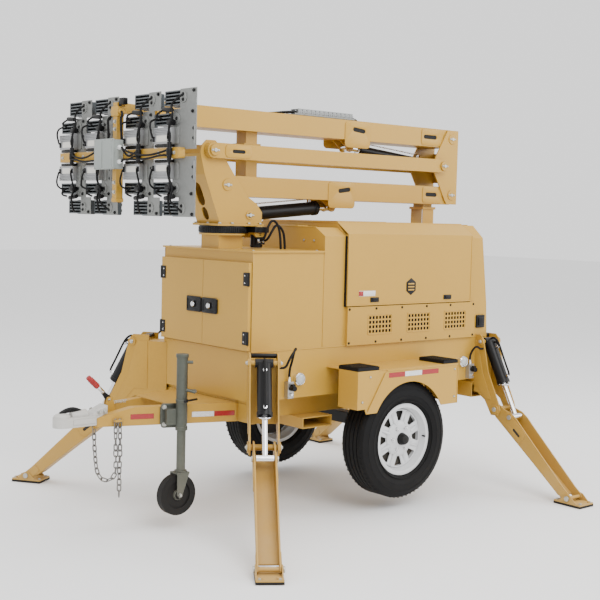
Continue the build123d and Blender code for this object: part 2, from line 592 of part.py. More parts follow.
def make_tyre(side):
    """A tyre with rounded shoulders and four tread grooves."""
    half = TYRE_W / 2
    bead = RIM_R - 13.5
    outer = [(bead, -50), (bead, -69.5), (RIM_R + 2, -69.5), (RIM_R + 14, -half + 14),
             (RIM_R + 54, -half), (TYRE_R - 40, -half + 4), (TYRE_R - 12, -half + 16),
             (TYRE_R, -half + 36)]
    inner = [(TYRE_R - 22, -half + 34), (TYRE_R - 46, -half + 17), (RIM_R + 54, -half + 13),
             (RIM_R + 18, -half + 26), (RIM_R, -56), (RIM_R - 2, -50)]
    outline = list(outer)
    for groove in (-45, -16, 16, 45):
        outline += [(TYRE_R, groove - 4), (TYRE_R - 8, groove - 3), (TYRE_R - 8, groove + 3),
                    (TYRE_R, groove + 4)]
    outline += [(r, -off) for r, off in reversed(outer)]
    outline += [(r, -off) for r, off in reversed(inner)] + inner
    return ring_profile(outline, side)


def make_rim(side):
    """A steel wheel: well, dished disc with eight windows, and hub cap."""
    well = [(RIM_R, -76), (RIM_R, -70), (RIM_R - 14, -70), (RIM_R - 22, -30), (RIM_R - 36, -18),
            (RIM_R - 36, 20), (RIM_R - 22, 36), (RIM_R - 14, 70), (RIM_R, 70), (RIM_R, 76),
            (RIM_R - 20, 76), (RIM_R - 30, 40), (RIM_R - 42, 22), (RIM_R - 42, -20),
            (RIM_R - 30, -36), (RIM_R - 20, -76)]
    disc = [(RIM_BORE_R, 30), (RIM_BORE_R, 52), (60, 52), (96, 64), (130, 50), (RIM_R - 40, 34),
            (RIM_R - 30, 30), (RIM_R - 36, 14), (128, 38), (96, 52), (60, 38), (60, 30)]
    wheel = ring_profile(well, side) + ring_profile(disc, side)
    hub = [(RIM_BORE_R, -60), (RIM_BORE_R, 40), (46, 40), (46, -60)]
    cap = [(0, 70), (0, 104), (18, 104), (30, 92), (34, 40), (46, 40), (46, 60), (30, 70)]
    wheel += ring_profile(hub, side) + ring_profile(cap, side)
    y = side * TYRE_MID
    for i in range(8):
        turn = Pos(AXLE_X, 0, HUB_Z) * Rot(0, 45 * i, 0)
        wheel -= turn * Pos(131, y + side * 40, 0) * Box(30, 60, 30)
    return wheel


def skirt_face():
    """Side outline of a mudguard skirt with its round arch."""
    with BuildSketch(Plane.XZ) as sketch:
        with BuildLine():
            Polyline((529, 598), (596, 599), (673, 599), (666, 838), (71, 838), (-83, 597), (-1, 598))
            ThreePointArc((-1, 598), (AXLE_X, 758), (529, 598))
        make_face()
    return sketch.sketch


def make_fenders():
    """Mudguards: skirt, top plate, slanted front step box and rear end plate."""
    skirt = Pos(0, -SKIRT_Y + 4, 0) * extrude(skirt_face(), 4)
    top = block((-155, 666), (-SKIRT_Y, -BODY_HALF), (838, 842))
    box_y = (-SKIRT_Y, STEP_DEPTH - SKIRT_Y)
    step = side_plate([(-155, 626), (-90, 626), (6, 838), (-155, 838)], *box_y)
    step -= side_plate([(-151, 630), (-93, 630), (1, 834), (-151, 834)], box_y[0] + 4, box_y[1] - 4)
    back = block((662, 666), (-SKIRT_Y, -BODY_HALF), (600, 838))
    filler = side_plate([(-92, 622), (6, 838), (80, 838), (-83, 597)], -SKIRT_Y + 3, -SKIRT_Y + 7)
    return both_sides(joined([skirt, top, step, back, filler]))


def make_step_pads():
    """Black rubber treads on the mudguards."""
    front = block((-155, 8), (-SKIRT_Y, -PAD_INNER[0]), (842, 862))
    rear = block((541, 666), (-SKIRT_Y, -PAD_INNER[1]), (842, 862))
    return both_sides(front + rear)


# ---- drawbar fittings ----------------------------------------------------------------------

LATCH_PIN = (-1495.0, 636.0)
BRAKE_PIN = (-1318.0, 690.0)


def make_coupler():
    """Ball coupler: a rounded nose with a vertical socket, and its shoe on the cut-down beams."""
    z = (570, 622)
    nose = bar((NOSE_X + 48, 0, z[0]), (NOSE_X + 48, 0, z[1]), 48)
    neck = prism([(NOSE_X + 48, -48, z[0]), (NOSE_X + 48, 48, z[0]), (BEAM_FRONT, 46, z[0]),
                  (BEAM_FRONT, -46, z[0])], (0, 0, z[1] - z[0]))
    slope = TAPER_DROP / TAPER_RUN
    low = FRAME_TOP - TAPER_DROP
    rear_low = low + slope * (SHOE_REAR - BEAM_FRONT)
    shoe = side_plate([(BEAM_FRONT - 40, low), (BEAM_FRONT, low), (SHOE_REAR, rear_low),
                       (SHOE_REAR, FRAME_TOP + 10), (BEAM_FRONT + 20, FRAME_TOP - 12),
                       (BEAM_FRONT - 40, z[1])], -40, 40)
    body = nose + neck + shoe
    body -= bar((BALL_X, 0, z[0] - 1), (BALL_X, 0, z[0] + 34), BALL_R)
    ears = both_sides(block((LATCH_PIN[0] - 16, LATCH_PIN[0] + 16), (10, 16), (z[1], z[1] + 26)))
    pin = cross_bar(LATCH_PIN, 16, 5)
    return joined([body, ears, pin])


def make_coupler_latch():
    """The curved locking lever on the coupler."""
    x, z = LATCH_PIN
    lever = side_plate([(x - 12, z - 8), (x + 8, z - 8), (x + 8, z + 10), (x - 60, z + 20),
                        (x - 118, z + 14), (x - 120, z + 6), (x - 62, z + 10)], -8, 8)
    lever += cross_bar(LATCH_PIN, 8, 11)
    return lever - cross_bar(LATCH_PIN, 20, 5 + RUNNING)


def brake_tower():
    """The bracket that holds the parking brake lever."""
    x, z = BRAKE_PIN
    ears = side_plate([(x - 34, FRAME_TOP - 40), (x + 40, FRAME_TOP - 40), (x + 16, z + 14),
                       (x - 16, z + 14)], 12, 18)
    ears += side_plate([(x - 34, FRAME_TOP - 40), (x + 40, FRAME_TOP - 40), (x + 16, z + 14),
                        (x - 16, z + 14)], 30, 36)
    foot_plate = block((x - 40, x + 70), (-BEAM_FRONT_Y, BEAM_FRONT_Y), (FRAME_TOP - 44, FRAME_TOP - 38))
    stay = block((BEAM_FRONT, BEAM_FRONT + 60), (-24, 24), RAIL_Z)
    stay -= side_plate([(BEAM_FRONT, FRAME_TOP), (BEAM_FRONT, FRAME_TOP - TAPER_DROP),
                        (BEAM_FRONT + TAPER_RUN, FRAME_TOP)], -30, 30)
    hook = block((BEAM_FRONT - 6, BEAM_FRONT + 16), (-20, -2), (548, 560))
    return joined([ears, foot_plate, stay, hook, bar((x, 12, z), (x, 36, z), 6)])


def make_brake_lever():
    """Parking brake lever with a round grip."""
    x, z = BRAKE_PIN
    plate = side_plate([(x - 14, z - 10), (x + 14, z - 10), (x + 10, z + 14), (x - 44, z + 58),
                        (x - 54, z + 48)], 20, 28)
    grip = bar((x - 40, 24, z + 46), (x - 122, 24, z + 122), 9)
    grip += bar((x - 70, 24, z + 74), (x - 124, 24, z + 124), 13)
    return plate + grip - bar((x, 0, z), (x, 50, z), 6 + RUNNING)


def make_jockey_tube():
    """Outer tube of the jack, its clamp on the drawbar beam and its crank gearbox."""
    x, y = JOCKEY_X, JOCKEY_Y
    low = 545.0
    tube = bar((x, y, low), (x, y, JOCKEY_TOP - 8), JOCKEY_TUBE_R)
    tube -= bar((x, y, low - 1), (x, y, JOCKEY_TOP - 20), JOCKEY_LEG_R + 0.5)
    cap = bar((x, y, JOCKEY_TOP - 8), (x, y, JOCKEY_TOP), JOCKEY_TUBE_R + 2)
    crank = bar((x, y - 4, JOCKEY_TOP - 40), (x + 46, y - 34, JOCKEY_TOP - 40), 9)
    crank -= bar((x, y, low), (x, y, JOCKEY_TOP - 20), JOCKEY_LEG_R + 0.5)
    tee = bar((x + 10, y - 20, 760), (x + 52, y - 52, 745), 8)
    tee -= bar((x, y, low), (x, y, JOCKEY_TOP - 20), JOCKEY_LEG_R + 0.5)
    beam_y = -(BEAM_FRONT_Y + (x - BEAM_FRONT) / (BODY_FRONT - BEAM_FRONT)
               * (BEAM_REAR_Y - BEAM_FRONT_Y))
    slope = degrees(atan2(BEAM_REAR_Y - BEAM_FRONT_Y, BODY_FRONT - BEAM_FRONT))
    clamp = Pos(x, beam_y, FRAME_TOP - RAIL_H / 2) * Rot(0, 0, -slope) * (
        Pos(0, -6, 0) * Box(150, 12, 92) + Pos(0, -42, 0) * Box(110, 62, 84))
    clamp -= bar((x, y, low - 1), (x, y, JOCKEY_TOP - 20), JOCKEY_LEG_R + 0.5)
    return joined([tube, cap, crank, tee, clamp])


def make_jockey_leg():
    """Inner tube of the jack."""
    x, y = JOCKEY_X, JOCKEY_Y
    leg_tube = bar((x, y, JOCKEY_WHEEL_Z + 128), (x, y, 770), JOCKEY_LEG_R)
    return leg_tube + bar((x, y, JOCKEY_WHEEL_Z + 120), (x, y, JOCKEY_WHEEL_Z + 128), 34)


def make_jockey_fork():
    """Castor fork under the jack's inner tube."""
    x, y = JOCKEY_X, JOCKEY_Y
    axle_x = x - 26
    crown = block((x - 44, x + 34), (y - 36, y + 36), (JOCKEY_WHEEL_Z + 113, JOCKEY_WHEEL_Z + 120))
    outline = [(x - 44, JOCKEY_WHEEL_Z + 116), (x + 34, JOCKEY_WHEEL_Z + 116),
               (axle_x + 17, JOCKEY_WHEEL_Z), (axle_x, JOCKEY_WHEEL_Z - 18), (axle_x - 17, JOCKEY_WHEEL_Z)]
    cheeks = side_plate(outline, y + 31, y + 36) + side_plate(outline, y - 36, y - 31)
    pin = bar((axle_x, y - 42, JOCKEY_WHEEL_Z), (axle_x, y + 42, JOCKEY_WHEEL_Z), 8)
    return joined([crown, cheeks, pin])


def make_jockey_wheel():
    """Solid rubber wheel of the jack."""
    x, y = JOCKEY_X - 26, JOCKEY_Y
    z = JOCKEY_WHEEL_Z
    wheel = bar((x, y - 22, z), (x, y + 22, z), JOCKEY_WHEEL_R)
    wheel += bar((x, y - 29, z), (x, y + 29, z), 24)
    for side in (-1, 1):
        wheel -= bar((x, y + side * 14, z), (x, y + side * 40, z), 74) - bar(
            (x, y - 40, z), (x, y + 40, z), 24)
    return wheel - bar((x, y - 40, z), (x, y + 40, z), 8 + RUNNING)


# Route of each safety chain, from its eye under the drawbar, as chosen points.
CHAIN_R = 6.0
SWAG_ROUTE = [(-1425, -11, 548), (-1425, -11, 496), (-1423, -13, 446), (-1420, -16, 396),
              (-1417, -20, 346), (-1410, -27, 305), (-1395, -42, 277), (-1375, -63, 270),
              (-1356, -83, 281), (-1344, -95, 309), (-1341, -98, 350), (-1342, -97, 396),
              (-1343, -95, 442), (-1344, -96, 488), (-1344, -95, 534), (-1344, -95, 588)]
DROP_ROUTE = [(-1322, -102, 588), (-1322, -102, 534), (-1321, -104, 478), (-1322, -105, 420),
              (-1324, -104, 362), (-1325, -105, 304), (-1324, -104, 246), (-1325, -104, 186)]


def route_tube(route, radius):
    """A round tube along straight runs joined by the largest arcs they allow."""
    points = [Vector(*p) for p in route]
    radii = []
    for before, here, after in zip(points, points[1:], points[2:]):
        first, second = here - before, after - here
        half_turn = radians(first.get_angle(second)) / 2
        radii.append(0.45 * min(first.length, second.length) / (sin(half_turn) / cos(half_turn)))
    path = FilletPolyline(*points, radius=radii)
    print("tube of radius", radius, "length", round(path.length, 1), "tightest arc", round(min(radii), 1))
    return sweep(Plane(origin=path @ 0, z_dir=path % 0) * Circle(radius), path=path)


# ---- hydraulics on the chassis -------------------------------------------------------------

VALVE = (42.0, 34.0, 92.0)   # size of a valve block along X, out from the body, and in height
VALVE_X = {"front": -466.0, "rear": 1040.0}
VALVE_Z = {"front": 686.0, "rear": 690.0}
HOSE_R = 6.5


def corner_side(corner):
    """-1 on the near side of the trailer and 1 on the far side."""
    return -1 if corner.endswith("near") else 1


def manifold_at(corner):
    """One valve block flat against the lower body, beside its arm."""
    end, side = corner.split("_")[0], corner_side(corner)
    x, z = VALVE_X[end], VALVE_Z[end]
    return block((x, x + VALVE[0]), tuple(sorted((side * BODY_HALF, side * (BODY_HALF + VALVE[1])))),
                 (z, z + VALVE[2]))


def hose_at(corner):
    """A hose from the valve block to the arm's cheek, held at both ends."""
    end, side = corner.split("_")[0], corner_side(corner)
    start_x = VALVE_X[end] + VALVE[0] / 2
    start_z = VALVE_Z[end] + VALVE[2]
    out = side * (BODY_HALF + VALVE[1] / 2)
    start = Vector(start_x, out, start_z)
    if end == "rear":
        cheek = REAR_LEG_X - ARM_W / 2
        points = [start, Vector(start_x, out, 838), Vector(start_x + 2, side * (BODY_HALF + 34), 872),
                  Vector(start_x + 12, side * (BODY_HALF + 56), 900),
                  Vector(cheek - 26, side * (BODY_HALF + 66), 880),
                  Vector(cheek, side * (BODY_HALF + 66), 880)]
    else:
        reach_out = ARM_W / 2
        points = [start, Vector(start_x, out, 842),
                  Vector(start_x - 18, side * (BODY_HALF + 62), 906),
                  Vector(start_x - 62, side * (BODY_HALF + 132), 974),
                  Vector(*place_point((-70, 0, 990), corner, reach_out + 100)),
                  Vector(*place_point((-20, 0, 950), corner, reach_out + 66)),
                  Vector(*place_point((-20, 0, 890), corner, reach_out + 40)),
                  Vector(*place_point((-20, 0, 890), corner, reach_out))]
    return route_tube(points, HOSE_R)


def place_point(point, corner, lateral):
    """A point of the outrigger's frame, moved to the cheek nearer the trailer's middle."""
    x, y, heading = CORNERS[corner]
    side = corner_side(corner)
    c, s = cos(radians(heading)), sin(radians(heading))
    along, across = point[0], -side * lateral
    return x + along * c - across * s, y + along * s + across * c, point[2]


def make_manifolds():
    """The four valve blocks."""
    return joined([manifold_at(corner) for corner in CORNERS])


# ---- turret and booms ----------------------------------------------------------------------

ELBOW_LOW = (TURRET_PIN[0] + BOOM_LENGTH, TURRET_PIN[1])
ELBOW_HIGH = (ELBOW_LOW[0] - ELBOW_LEAN, ELBOW_LOW[1] + ELBOW_RISE)
HIGH_RAM_BASE = (ELBOW_LOW[0] + HIGH_RAM_BASE_OFFSET[0], ELBOW_LOW[1] + HIGH_RAM_BASE_OFFSET[1])
HIGH_RAM_LUG = (ELBOW_HIGH[0] + HIGH_RAM_LUG_OFFSET[0], ELBOW_HIGH[1] + HIGH_RAM_LUG_OFFSET[1])
LINK_TURRET = (TURRET_PIN[0] + LINK_OFFSET[0], TURRET_PIN[1] + LINK_OFFSET[1])
LINK_ELBOW = (ELBOW_LOW[0] + LINK_OFFSET[0], ELBOW_LOW[1] + LINK_OFFSET[1])
PLATE_IN = BOOM_HALF + PLATE_GAP
PLATE_OUT = PLATE_IN + BOOM_PLATE
LINK_IN = PLATE_OUT + PLATE_GAP
LINK_OUT = LINK_IN + LINK_W
LOWER_Z = (TURRET_PIN[1] - 63.0, TURRET_PIN[1] - 63.0 + LOWER_H)
UPPER_Z = (ELBOW_HIGH[1] - 59.0, ELBOW_HIGH[1] - 59.0 + UPPER_H)
REST_FROM_ELBOW, REST_FROM_REAR = 155.0, 125.0
BOOM_REST_X = min(ELBOW_LOW[0] - REST_FROM_ELBOW, REAR_TOP_X - REST_FROM_REAR)
REST_SEAM_Z = 1772.0
FOLD_REST_X = -440.0
FOLD_SEAM_Z = 2098.0


def make_slew_drive():
    """Geared slewing ring with its worm gearbox and the hydraulic motor that hangs under it."""
    ring = bar((TURRET_X, 0, RING_BASE), (TURRET_X, 0, RING_TOP), RING_R)
    ring -= bar((TURRET_X, 0, RING_BASE - 1), (TURRET_X, 0, RING_TOP + 1), RING_R - 48)
    worm_x = TURRET_X + RING_R + 36
    housing = bar((worm_x, -130, 1600), (worm_x, 60, 1600), 31)
    housing += block((worm_x - 46, worm_x + 54), (-150, -48), (1598, RING_TOP - 3))
    bridge = block((TURRET_X + RING_R - 14, worm_x), (-70, 50), (RING_BASE + 2, 1622))
    motor = bar((worm_x + 4, -98, CABINET_TOP + ROOF_PLATE + 6), (worm_x + 4, -98, 1598), 34)
    motor += block((worm_x - 24, worm_x + 32), (-142, -98), (1530, 1572))
    return joined([ring, housing, bridge, motor])


def make_turret():
    """Slewing turret: base plate, two cheeks, bent front plate and the boom's pins."""
    foot_z = RING_TOP + 12
    outline = [(-700, foot_z), (-402, foot_z), (-402, 1712), (-440, 1760), (-507, 1799),
               (-600, 1912), (-672, 2010), (-712, 2080), (-742, 2104), (-800, 2104), (-832, 2072),
               (-840, 2030), (-809, 1914)]
    cheeks = both_sides(side_plate(outline, PLATE_IN, PLATE_OUT))
    base = block((-722, -396), (-PLATE_OUT - 14, PLATE_OUT + 14), (RING_TOP, foot_z))
    collar = bar((TURRET_X, 0, RING_TOP), (TURRET_X, 0, foot_z), RING_R - 8)
    front = side_plate([(-700, foot_z), (-692, foot_z), (-801, 1914), (-832, 2030),
                        (-840, 2030), (-809, 1914)], -PLATE_IN, PLATE_IN)
    for z, half, radius in ((1808, 30, 34), (1700, 10, 26)):
        low, high = z - half, z + half
        front -= bar((-860, 0, low), (-700, 0, low), radius) + bar((-860, 0, high), (-700, 0, high),
                                                                   radius)
        front -= block((-860, -700), (-radius, radius), (low, high))
    pins = cross_bar(TURRET_PIN, PLATE_OUT + 3, PIN_R) + cross_bar(LOW_RAM_BASE, PLATE_OUT + 6, 14)
    pins += cross_bar(LINK_TURRET, LINK_OUT + 6, PIN_R, PLATE_IN)
    return joined([cheeks, base, collar, front, pins])


def lugs(pin, boom_face, radius, inner, thick):
    """Two ears that hang from a boom's face and hold a ram's rod eye."""
    x, z = pin
    drop = [(x - 90, boom_face), (x + 90, boom_face), (x + radius, z), (x + radius * 0.6, z - radius * 0.8),
            (x, z - radius), (x - radius * 0.6, z - radius * 0.8), (x - radius, z)]
    ears = both_sides(side_plate(drop, inner, inner + thick))
    return ears + cross_bar(pin, inner + thick + 6, 14, inner)


def boom_boss(pin):
    """The cross tube and two wide cheeks that carry a pin through a boom's end."""
    x, z = pin
    between = block((x - 60, x + 60), (-BOOM_HALF + 16, BOOM_HALF - 16), (z - 60, z + 60))
    return cross_bar(pin, BOOM_HALF, 46) - between + cross_bar(pin, BOOM_HALF, 30)


def make_lower_boom():
    """Lower box section with its bored ends, ram lugs and both rests."""
    boom = tube_box((TURRET_PIN[0] - 20, ELBOW_LOW[0] - 4), (-BOOM_HALF, BOOM_HALF), LOWER_Z, BOOM_WALL)
    for pin in (TURRET_PIN, ELBOW_LOW):
        boom += boom_boss(pin)
    for pin in (TURRET_PIN, ELBOW_LOW):
        boom -= cross_bar(pin, BOOM_HALF + 2, PIN_R + RUNNING)
    ears = lugs(LOW_RAM_LUG, LOWER_Z[0], 30, 30, 12)
    post = tube_box((FOLD_REST_X - 40, FOLD_REST_X + 40), (-50, 50), (LOWER_Z[1], FOLD_SEAM_Z), 5)
    post += block((FOLD_REST_X - 60, FOLD_REST_X + 60), (-56, 56), (FOLD_SEAM_Z - 6, FOLD_SEAM_Z))
    pad = block((BOOM_REST_X - 60, BOOM_REST_X + 60), (-62, 62), (REST_SEAM_Z, REST_SEAM_Z + 8))
    pad += block((BOOM_REST_X - 40, BOOM_REST_X + 40), (-46, 46), (REST_SEAM_Z + 8, LOWER_Z[0]))
    return bolted(boom, ears, post, pad)


def make_links():
    """Parallel link bars outside the booms, which keep the elbow level."""
    (x0, z0), (x1, _) = LINK_TURRET, LINK_ELBOW
    link = tube_box((x0, x1), (LINK_IN, LINK_OUT), (z0 - LINK_H / 2, z0 + LINK_H / 2), 5)
    for x in (x0, x1):
        link += bar((x, LINK_IN, z0), (x, LINK_OUT, z0), LINK_H / 2)
    for x in (x0, x1):
        link -= bar((x, LINK_IN - 2, z0), (x, LINK_OUT + 2, z0), PIN_R + RUNNING)
    return both_sides(link)


def make_elbow():
    """Elbow: two cheeks with a back plate and the pins of both booms, the links and a ram."""
    right = ELBOW_LOW[0] + 53
    low, high = LOWER_Z[0] + 2, UPPER_Z[1] - 2
    nose_z = LINK_ELBOW[1]
    outline = [(right, low), (right, high), (ELBOW_HIGH[0] - 36, high), (ELBOW_HIGH[0] - 58, high - 30),
               (LINK_ELBOW[0] - 44, nose_z + 42), (LINK_ELBOW[0] - 56, nose_z),
               (LINK_ELBOW[0] - 44, nose_z - 42), (ELBOW_LOW[0] - 60, low + 26), (ELBOW_LOW[0] - 40, low)]
    cheeks = both_sides(side_plate(outline, PLATE_IN, PLATE_OUT))
    back = block((right - 10, right), (-PLATE_IN, PLATE_IN), (LOWER_Z[1] + 30, UPPER_Z[0] - 30))
    pins = [cross_bar(ELBOW_LOW, PLATE_OUT + 3, PIN_R), cross_bar(ELBOW_HIGH, PLATE_OUT + 3, PIN_R),
            cross_bar(HIGH_RAM_BASE, PLATE_OUT, 14), cross_bar(LINK_ELBOW, LINK_OUT + 6, PIN_R, PLATE_IN)]
    return joined([cheeks, back, *pins])


def make_upper_boom():
    """Upper box section with its bored end, ram lugs, rest and the clevis for the lamp head."""
    boom = tube_box((TIP_X, ELBOW_HIGH[0] - 4), (-BOOM_HALF, BOOM_HALF), UPPER_Z, BOOM_WALL)
    boom += boom_boss(ELBOW_HIGH)
    ears = lugs(HIGH_RAM_LUG, UPPER_Z[0], 30, 26, 12)
    pad = block((FOLD_REST_X - 60, FOLD_REST_X + 60), (-56, 56), (FOLD_SEAM_Z, FOLD_SEAM_Z + 8))
    pad += block((FOLD_REST_X - 40, FOLD_REST_X + 40), (-46, 46), (FOLD_SEAM_Z + 8, UPPER_Z[0]))
    boom += block((TIP_X - 8, TIP_X), (-BOOM_HALF, BOOM_HALF), UPPER_Z)
    x, z = TILT_PIN
    clevis = [(TIP_X - 8, z - 40), (x, z - 26), (x - 22, z - 14), (x - 22, z + 14), (x, z + 26),
              (TIP_X - 8, z + 40)]
    boom += both_sides(side_plate(clevis, 34, 46))
    boom += cross_bar(TILT_PIN, 50, 13)
    boom -= cross_bar(ELBOW_HIGH, BOOM_HALF + 2, PIN_R + RUNNING)
    return bolted(boom, ears, pad)


def ram_barrel(base, lug, radius, rod_radius, length, eye_half):
    """A boom ram's barrel with its base eye, bored for the rod."""
    _, angle = reach(base, lug)
    direction = Vector(cos(radians(angle)), 0, sin(radians(angle)))
    start = Vector(base[0], 0, base[1])
    solid = bar(start + direction * 12, start + direction * length, radius)
    solid += bar(start + direction * (length - 26), start + direction * length, radius + 4)
    solid -= bar(start + direction * 44, start + direction * (length - 26), radius - 6)
    solid -= bar(start + direction * 44, start + direction * (length + 1), rod_radius + 0.3)
    solid += cross_bar(base, eye_half, 27)
    return solid - cross_bar(base, eye_half + 2, 14 + RUNNING)


def ram_rod(base, lug, radius, rod_radius, length, retracted, eye_half):
    """A boom ram's rod with its piston and rod eye, stored at its shortest length."""
    reach_now, angle = reach(base, lug)
    direction = Vector(cos(radians(angle)), 0, sin(radians(angle)))
    start = Vector(base[0], 0, base[1])
    solid = bar(start + direction * retracted, start + direction * (reach_now - 10), rod_radius)
    solid += bar(start + direction * retracted, start + direction * (retracted + 34), radius - 6.4)
    return solid + cross_bar(lug, eye_half, 25)


LOW_BARREL, HIGH_BARREL = 590.0, 610.0


def make_energy_chain():
    """The cable carrier folded on top of the upper boom, on its tray."""
    top = UPPER_Z[1]
    tray = block((-150, 150), (-82, 20), (top, top + 6))
    links = [block((-120 + 34 * i, -120 + 34 * i + 28), (-74, -4), (top + 6, top + 42)) for i in range(13)]
    spine = block((-120, 316), (-66, -12), (top + 6, top + 36))
    end = block((150, 330), (-74, -4), (top, top + 6))
    return joined([tray, spine, *links, end])


# ---- lamp head -----------------------------------------------------------------------------

BRACKET_T = 4.0
BRACKET_X = (HEAD_BACK, HEAD_BACK + BRACKET_T)
BRACKET_LAP = 16.0
FIN_FRONT = HEAD_BACK + BRACKET_T


def bracket_range(index, row):
    """Y range of one column's bracket beside its inner or outer lamps."""
    width = OUTER_BRACKET if index == 3 else INNER_BRACKET
    shift = LAMP_ROWS[row][3]
    outer_edge = 0.0 if index == 3 else shift
    return BANK_Y[index] - width + outer_edge, BANK_Y[index] + BRACKET_LAP + shift


def make_head_frame():
    """Cross frame of the head: tube, post, tilt lug and the outer column's ties."""
    back = (HEAD_BACK - TUBE_D, HEAD_BACK)
    tube = tube_y(back, (-HEAD_HALF, HEAD_HALF), (HEAD_Z - TUBE_H / 2, HEAD_Z + TUBE_H / 2), 4)
    post = tube_z(back, (-20, 20), (HEAD_Z - 246, TILT_PIN[1] + 30), 4)
    post -= block((back[0] + 4, back[1] - 4), (-60, 60),
                  (HEAD_Z - TUBE_H / 2 + 4, HEAD_Z + TUBE_H / 2 - 4))
    lug = side_plate([(HEAD_BACK, TILT_PIN[1] - 28), (TILT_PIN[0], TILT_PIN[1] - 24),
                      (TILT_PIN[0] + 18, TILT_PIN[1] - 14), (TILT_PIN[0] + 18, TILT_PIN[1] + 14),
                      (TILT_PIN[0], TILT_PIN[1] + 24), (HEAD_BACK, TILT_PIN[1] + 28)], -30, 30)
    lug -= cross_bar(TILT_PIN, 60, 13 + RUNNING)
    return joined([tube, post, lug])


def tube_y(x, y, z, wall):
    """A square tube along Y."""
    inner = block((x[0] + wall, x[1] - wall), (y[0] - 1, y[1] + 1), (z[0] + wall, z[1] - wall))
    return block(x, y, z) - inner


def tube_z(x, y, z, wall):
    """A square tube along Z."""
    inner = block((x[0] + wall, x[1] - wall), (y[0] + wall, y[1] - wall), (z[0] - 1, z[1] + 1))
    return block(x, y, z) - inner


def make_brackets():
    """An upper and a lower bracket plate per column, lapped on the tube and stepped at the outer lamp."""
    plates = []
    step = (LAMP_ROWS[0][1] + LAMP_ROWS[1][0]) / 2
    for index in range(4):
        for sign in (-1, 1):
            inner = sorted((HEAD_Z + sign * (TUBE_H / 2 - BRACKET_LAP / 2), HEAD_Z + sign * step))
            plates.append(block(BRACKET_X, bracket_range(index, 0), inner))
            outer = sorted((HEAD_Z + sign * step, HEAD_Z + sign * LAMP_ROWS[1][1]))
            plates.append(block(BRACKET_X, bracket_range(index, 1), outer))
    return joined(plates)


def make_lamps():
    """Sixteen finned lamp modules, each with a flat lens side."""
    modules = []
    for near_edge in BANK_Y:
        for low, high, width, shift in LAMP_ROWS:
            y = (near_edge + shift, near_edge + shift + width)
            for sign in (-1, 1):
                z = sorted((HEAD_Z + sign * low, HEAD_Z + sign * high))
                base = block((FIN_FRONT + 52, FIN_FRONT + 86), y, z)
                count = 5 if high > 300 else 4
                pitch = (z[1] - z[0] - 4) / (count - 1)
                fins = [block((FIN_FRONT, FIN_FRONT + 53), y, (z[0] + i * pitch, z[0] + i * pitch + 4))
                        for i in range(count)]
                cheek = block((FIN_FRONT, FIN_FRONT + 53), (y[0], y[0] + 6), z)
                modules.append(joined([base, *fins, cheek]))
    return Part() + modules


def make_drivers():
    """Eight power supplies on the brackets, and the junction box on the post."""
    boxes = []
    for near_edge in BANK_Y:
        for sign in (-1, 1):
            z = sorted((HEAD_Z + sign * DRIVER_ROW[0], HEAD_Z + sign * DRIVER_ROW[1]))
            boxes.append(block((HEAD_BACK - DRIVER_DEPTH, HEAD_BACK),
                               (near_edge - 5, near_edge - 5 + DRIVER_W), z))
    box_x = (HEAD_BACK - TUBE_D - 70, HEAD_BACK - TUBE_D)
    boxes.append(block(box_x, (-96, 96), (HEAD_Z - 77, HEAD_Z + 83)))
    return Part() + boxes


# ---- assembly ------------------------------------------------------------------------------

def rear_edge():
    """The rearmost point of the trailer: a rear foot's edge."""
    return REAR_LEG_X + FOOT_PLATE[1] / 2


SHIFT_X = -(NOSE_X + rear_edge()) / 2


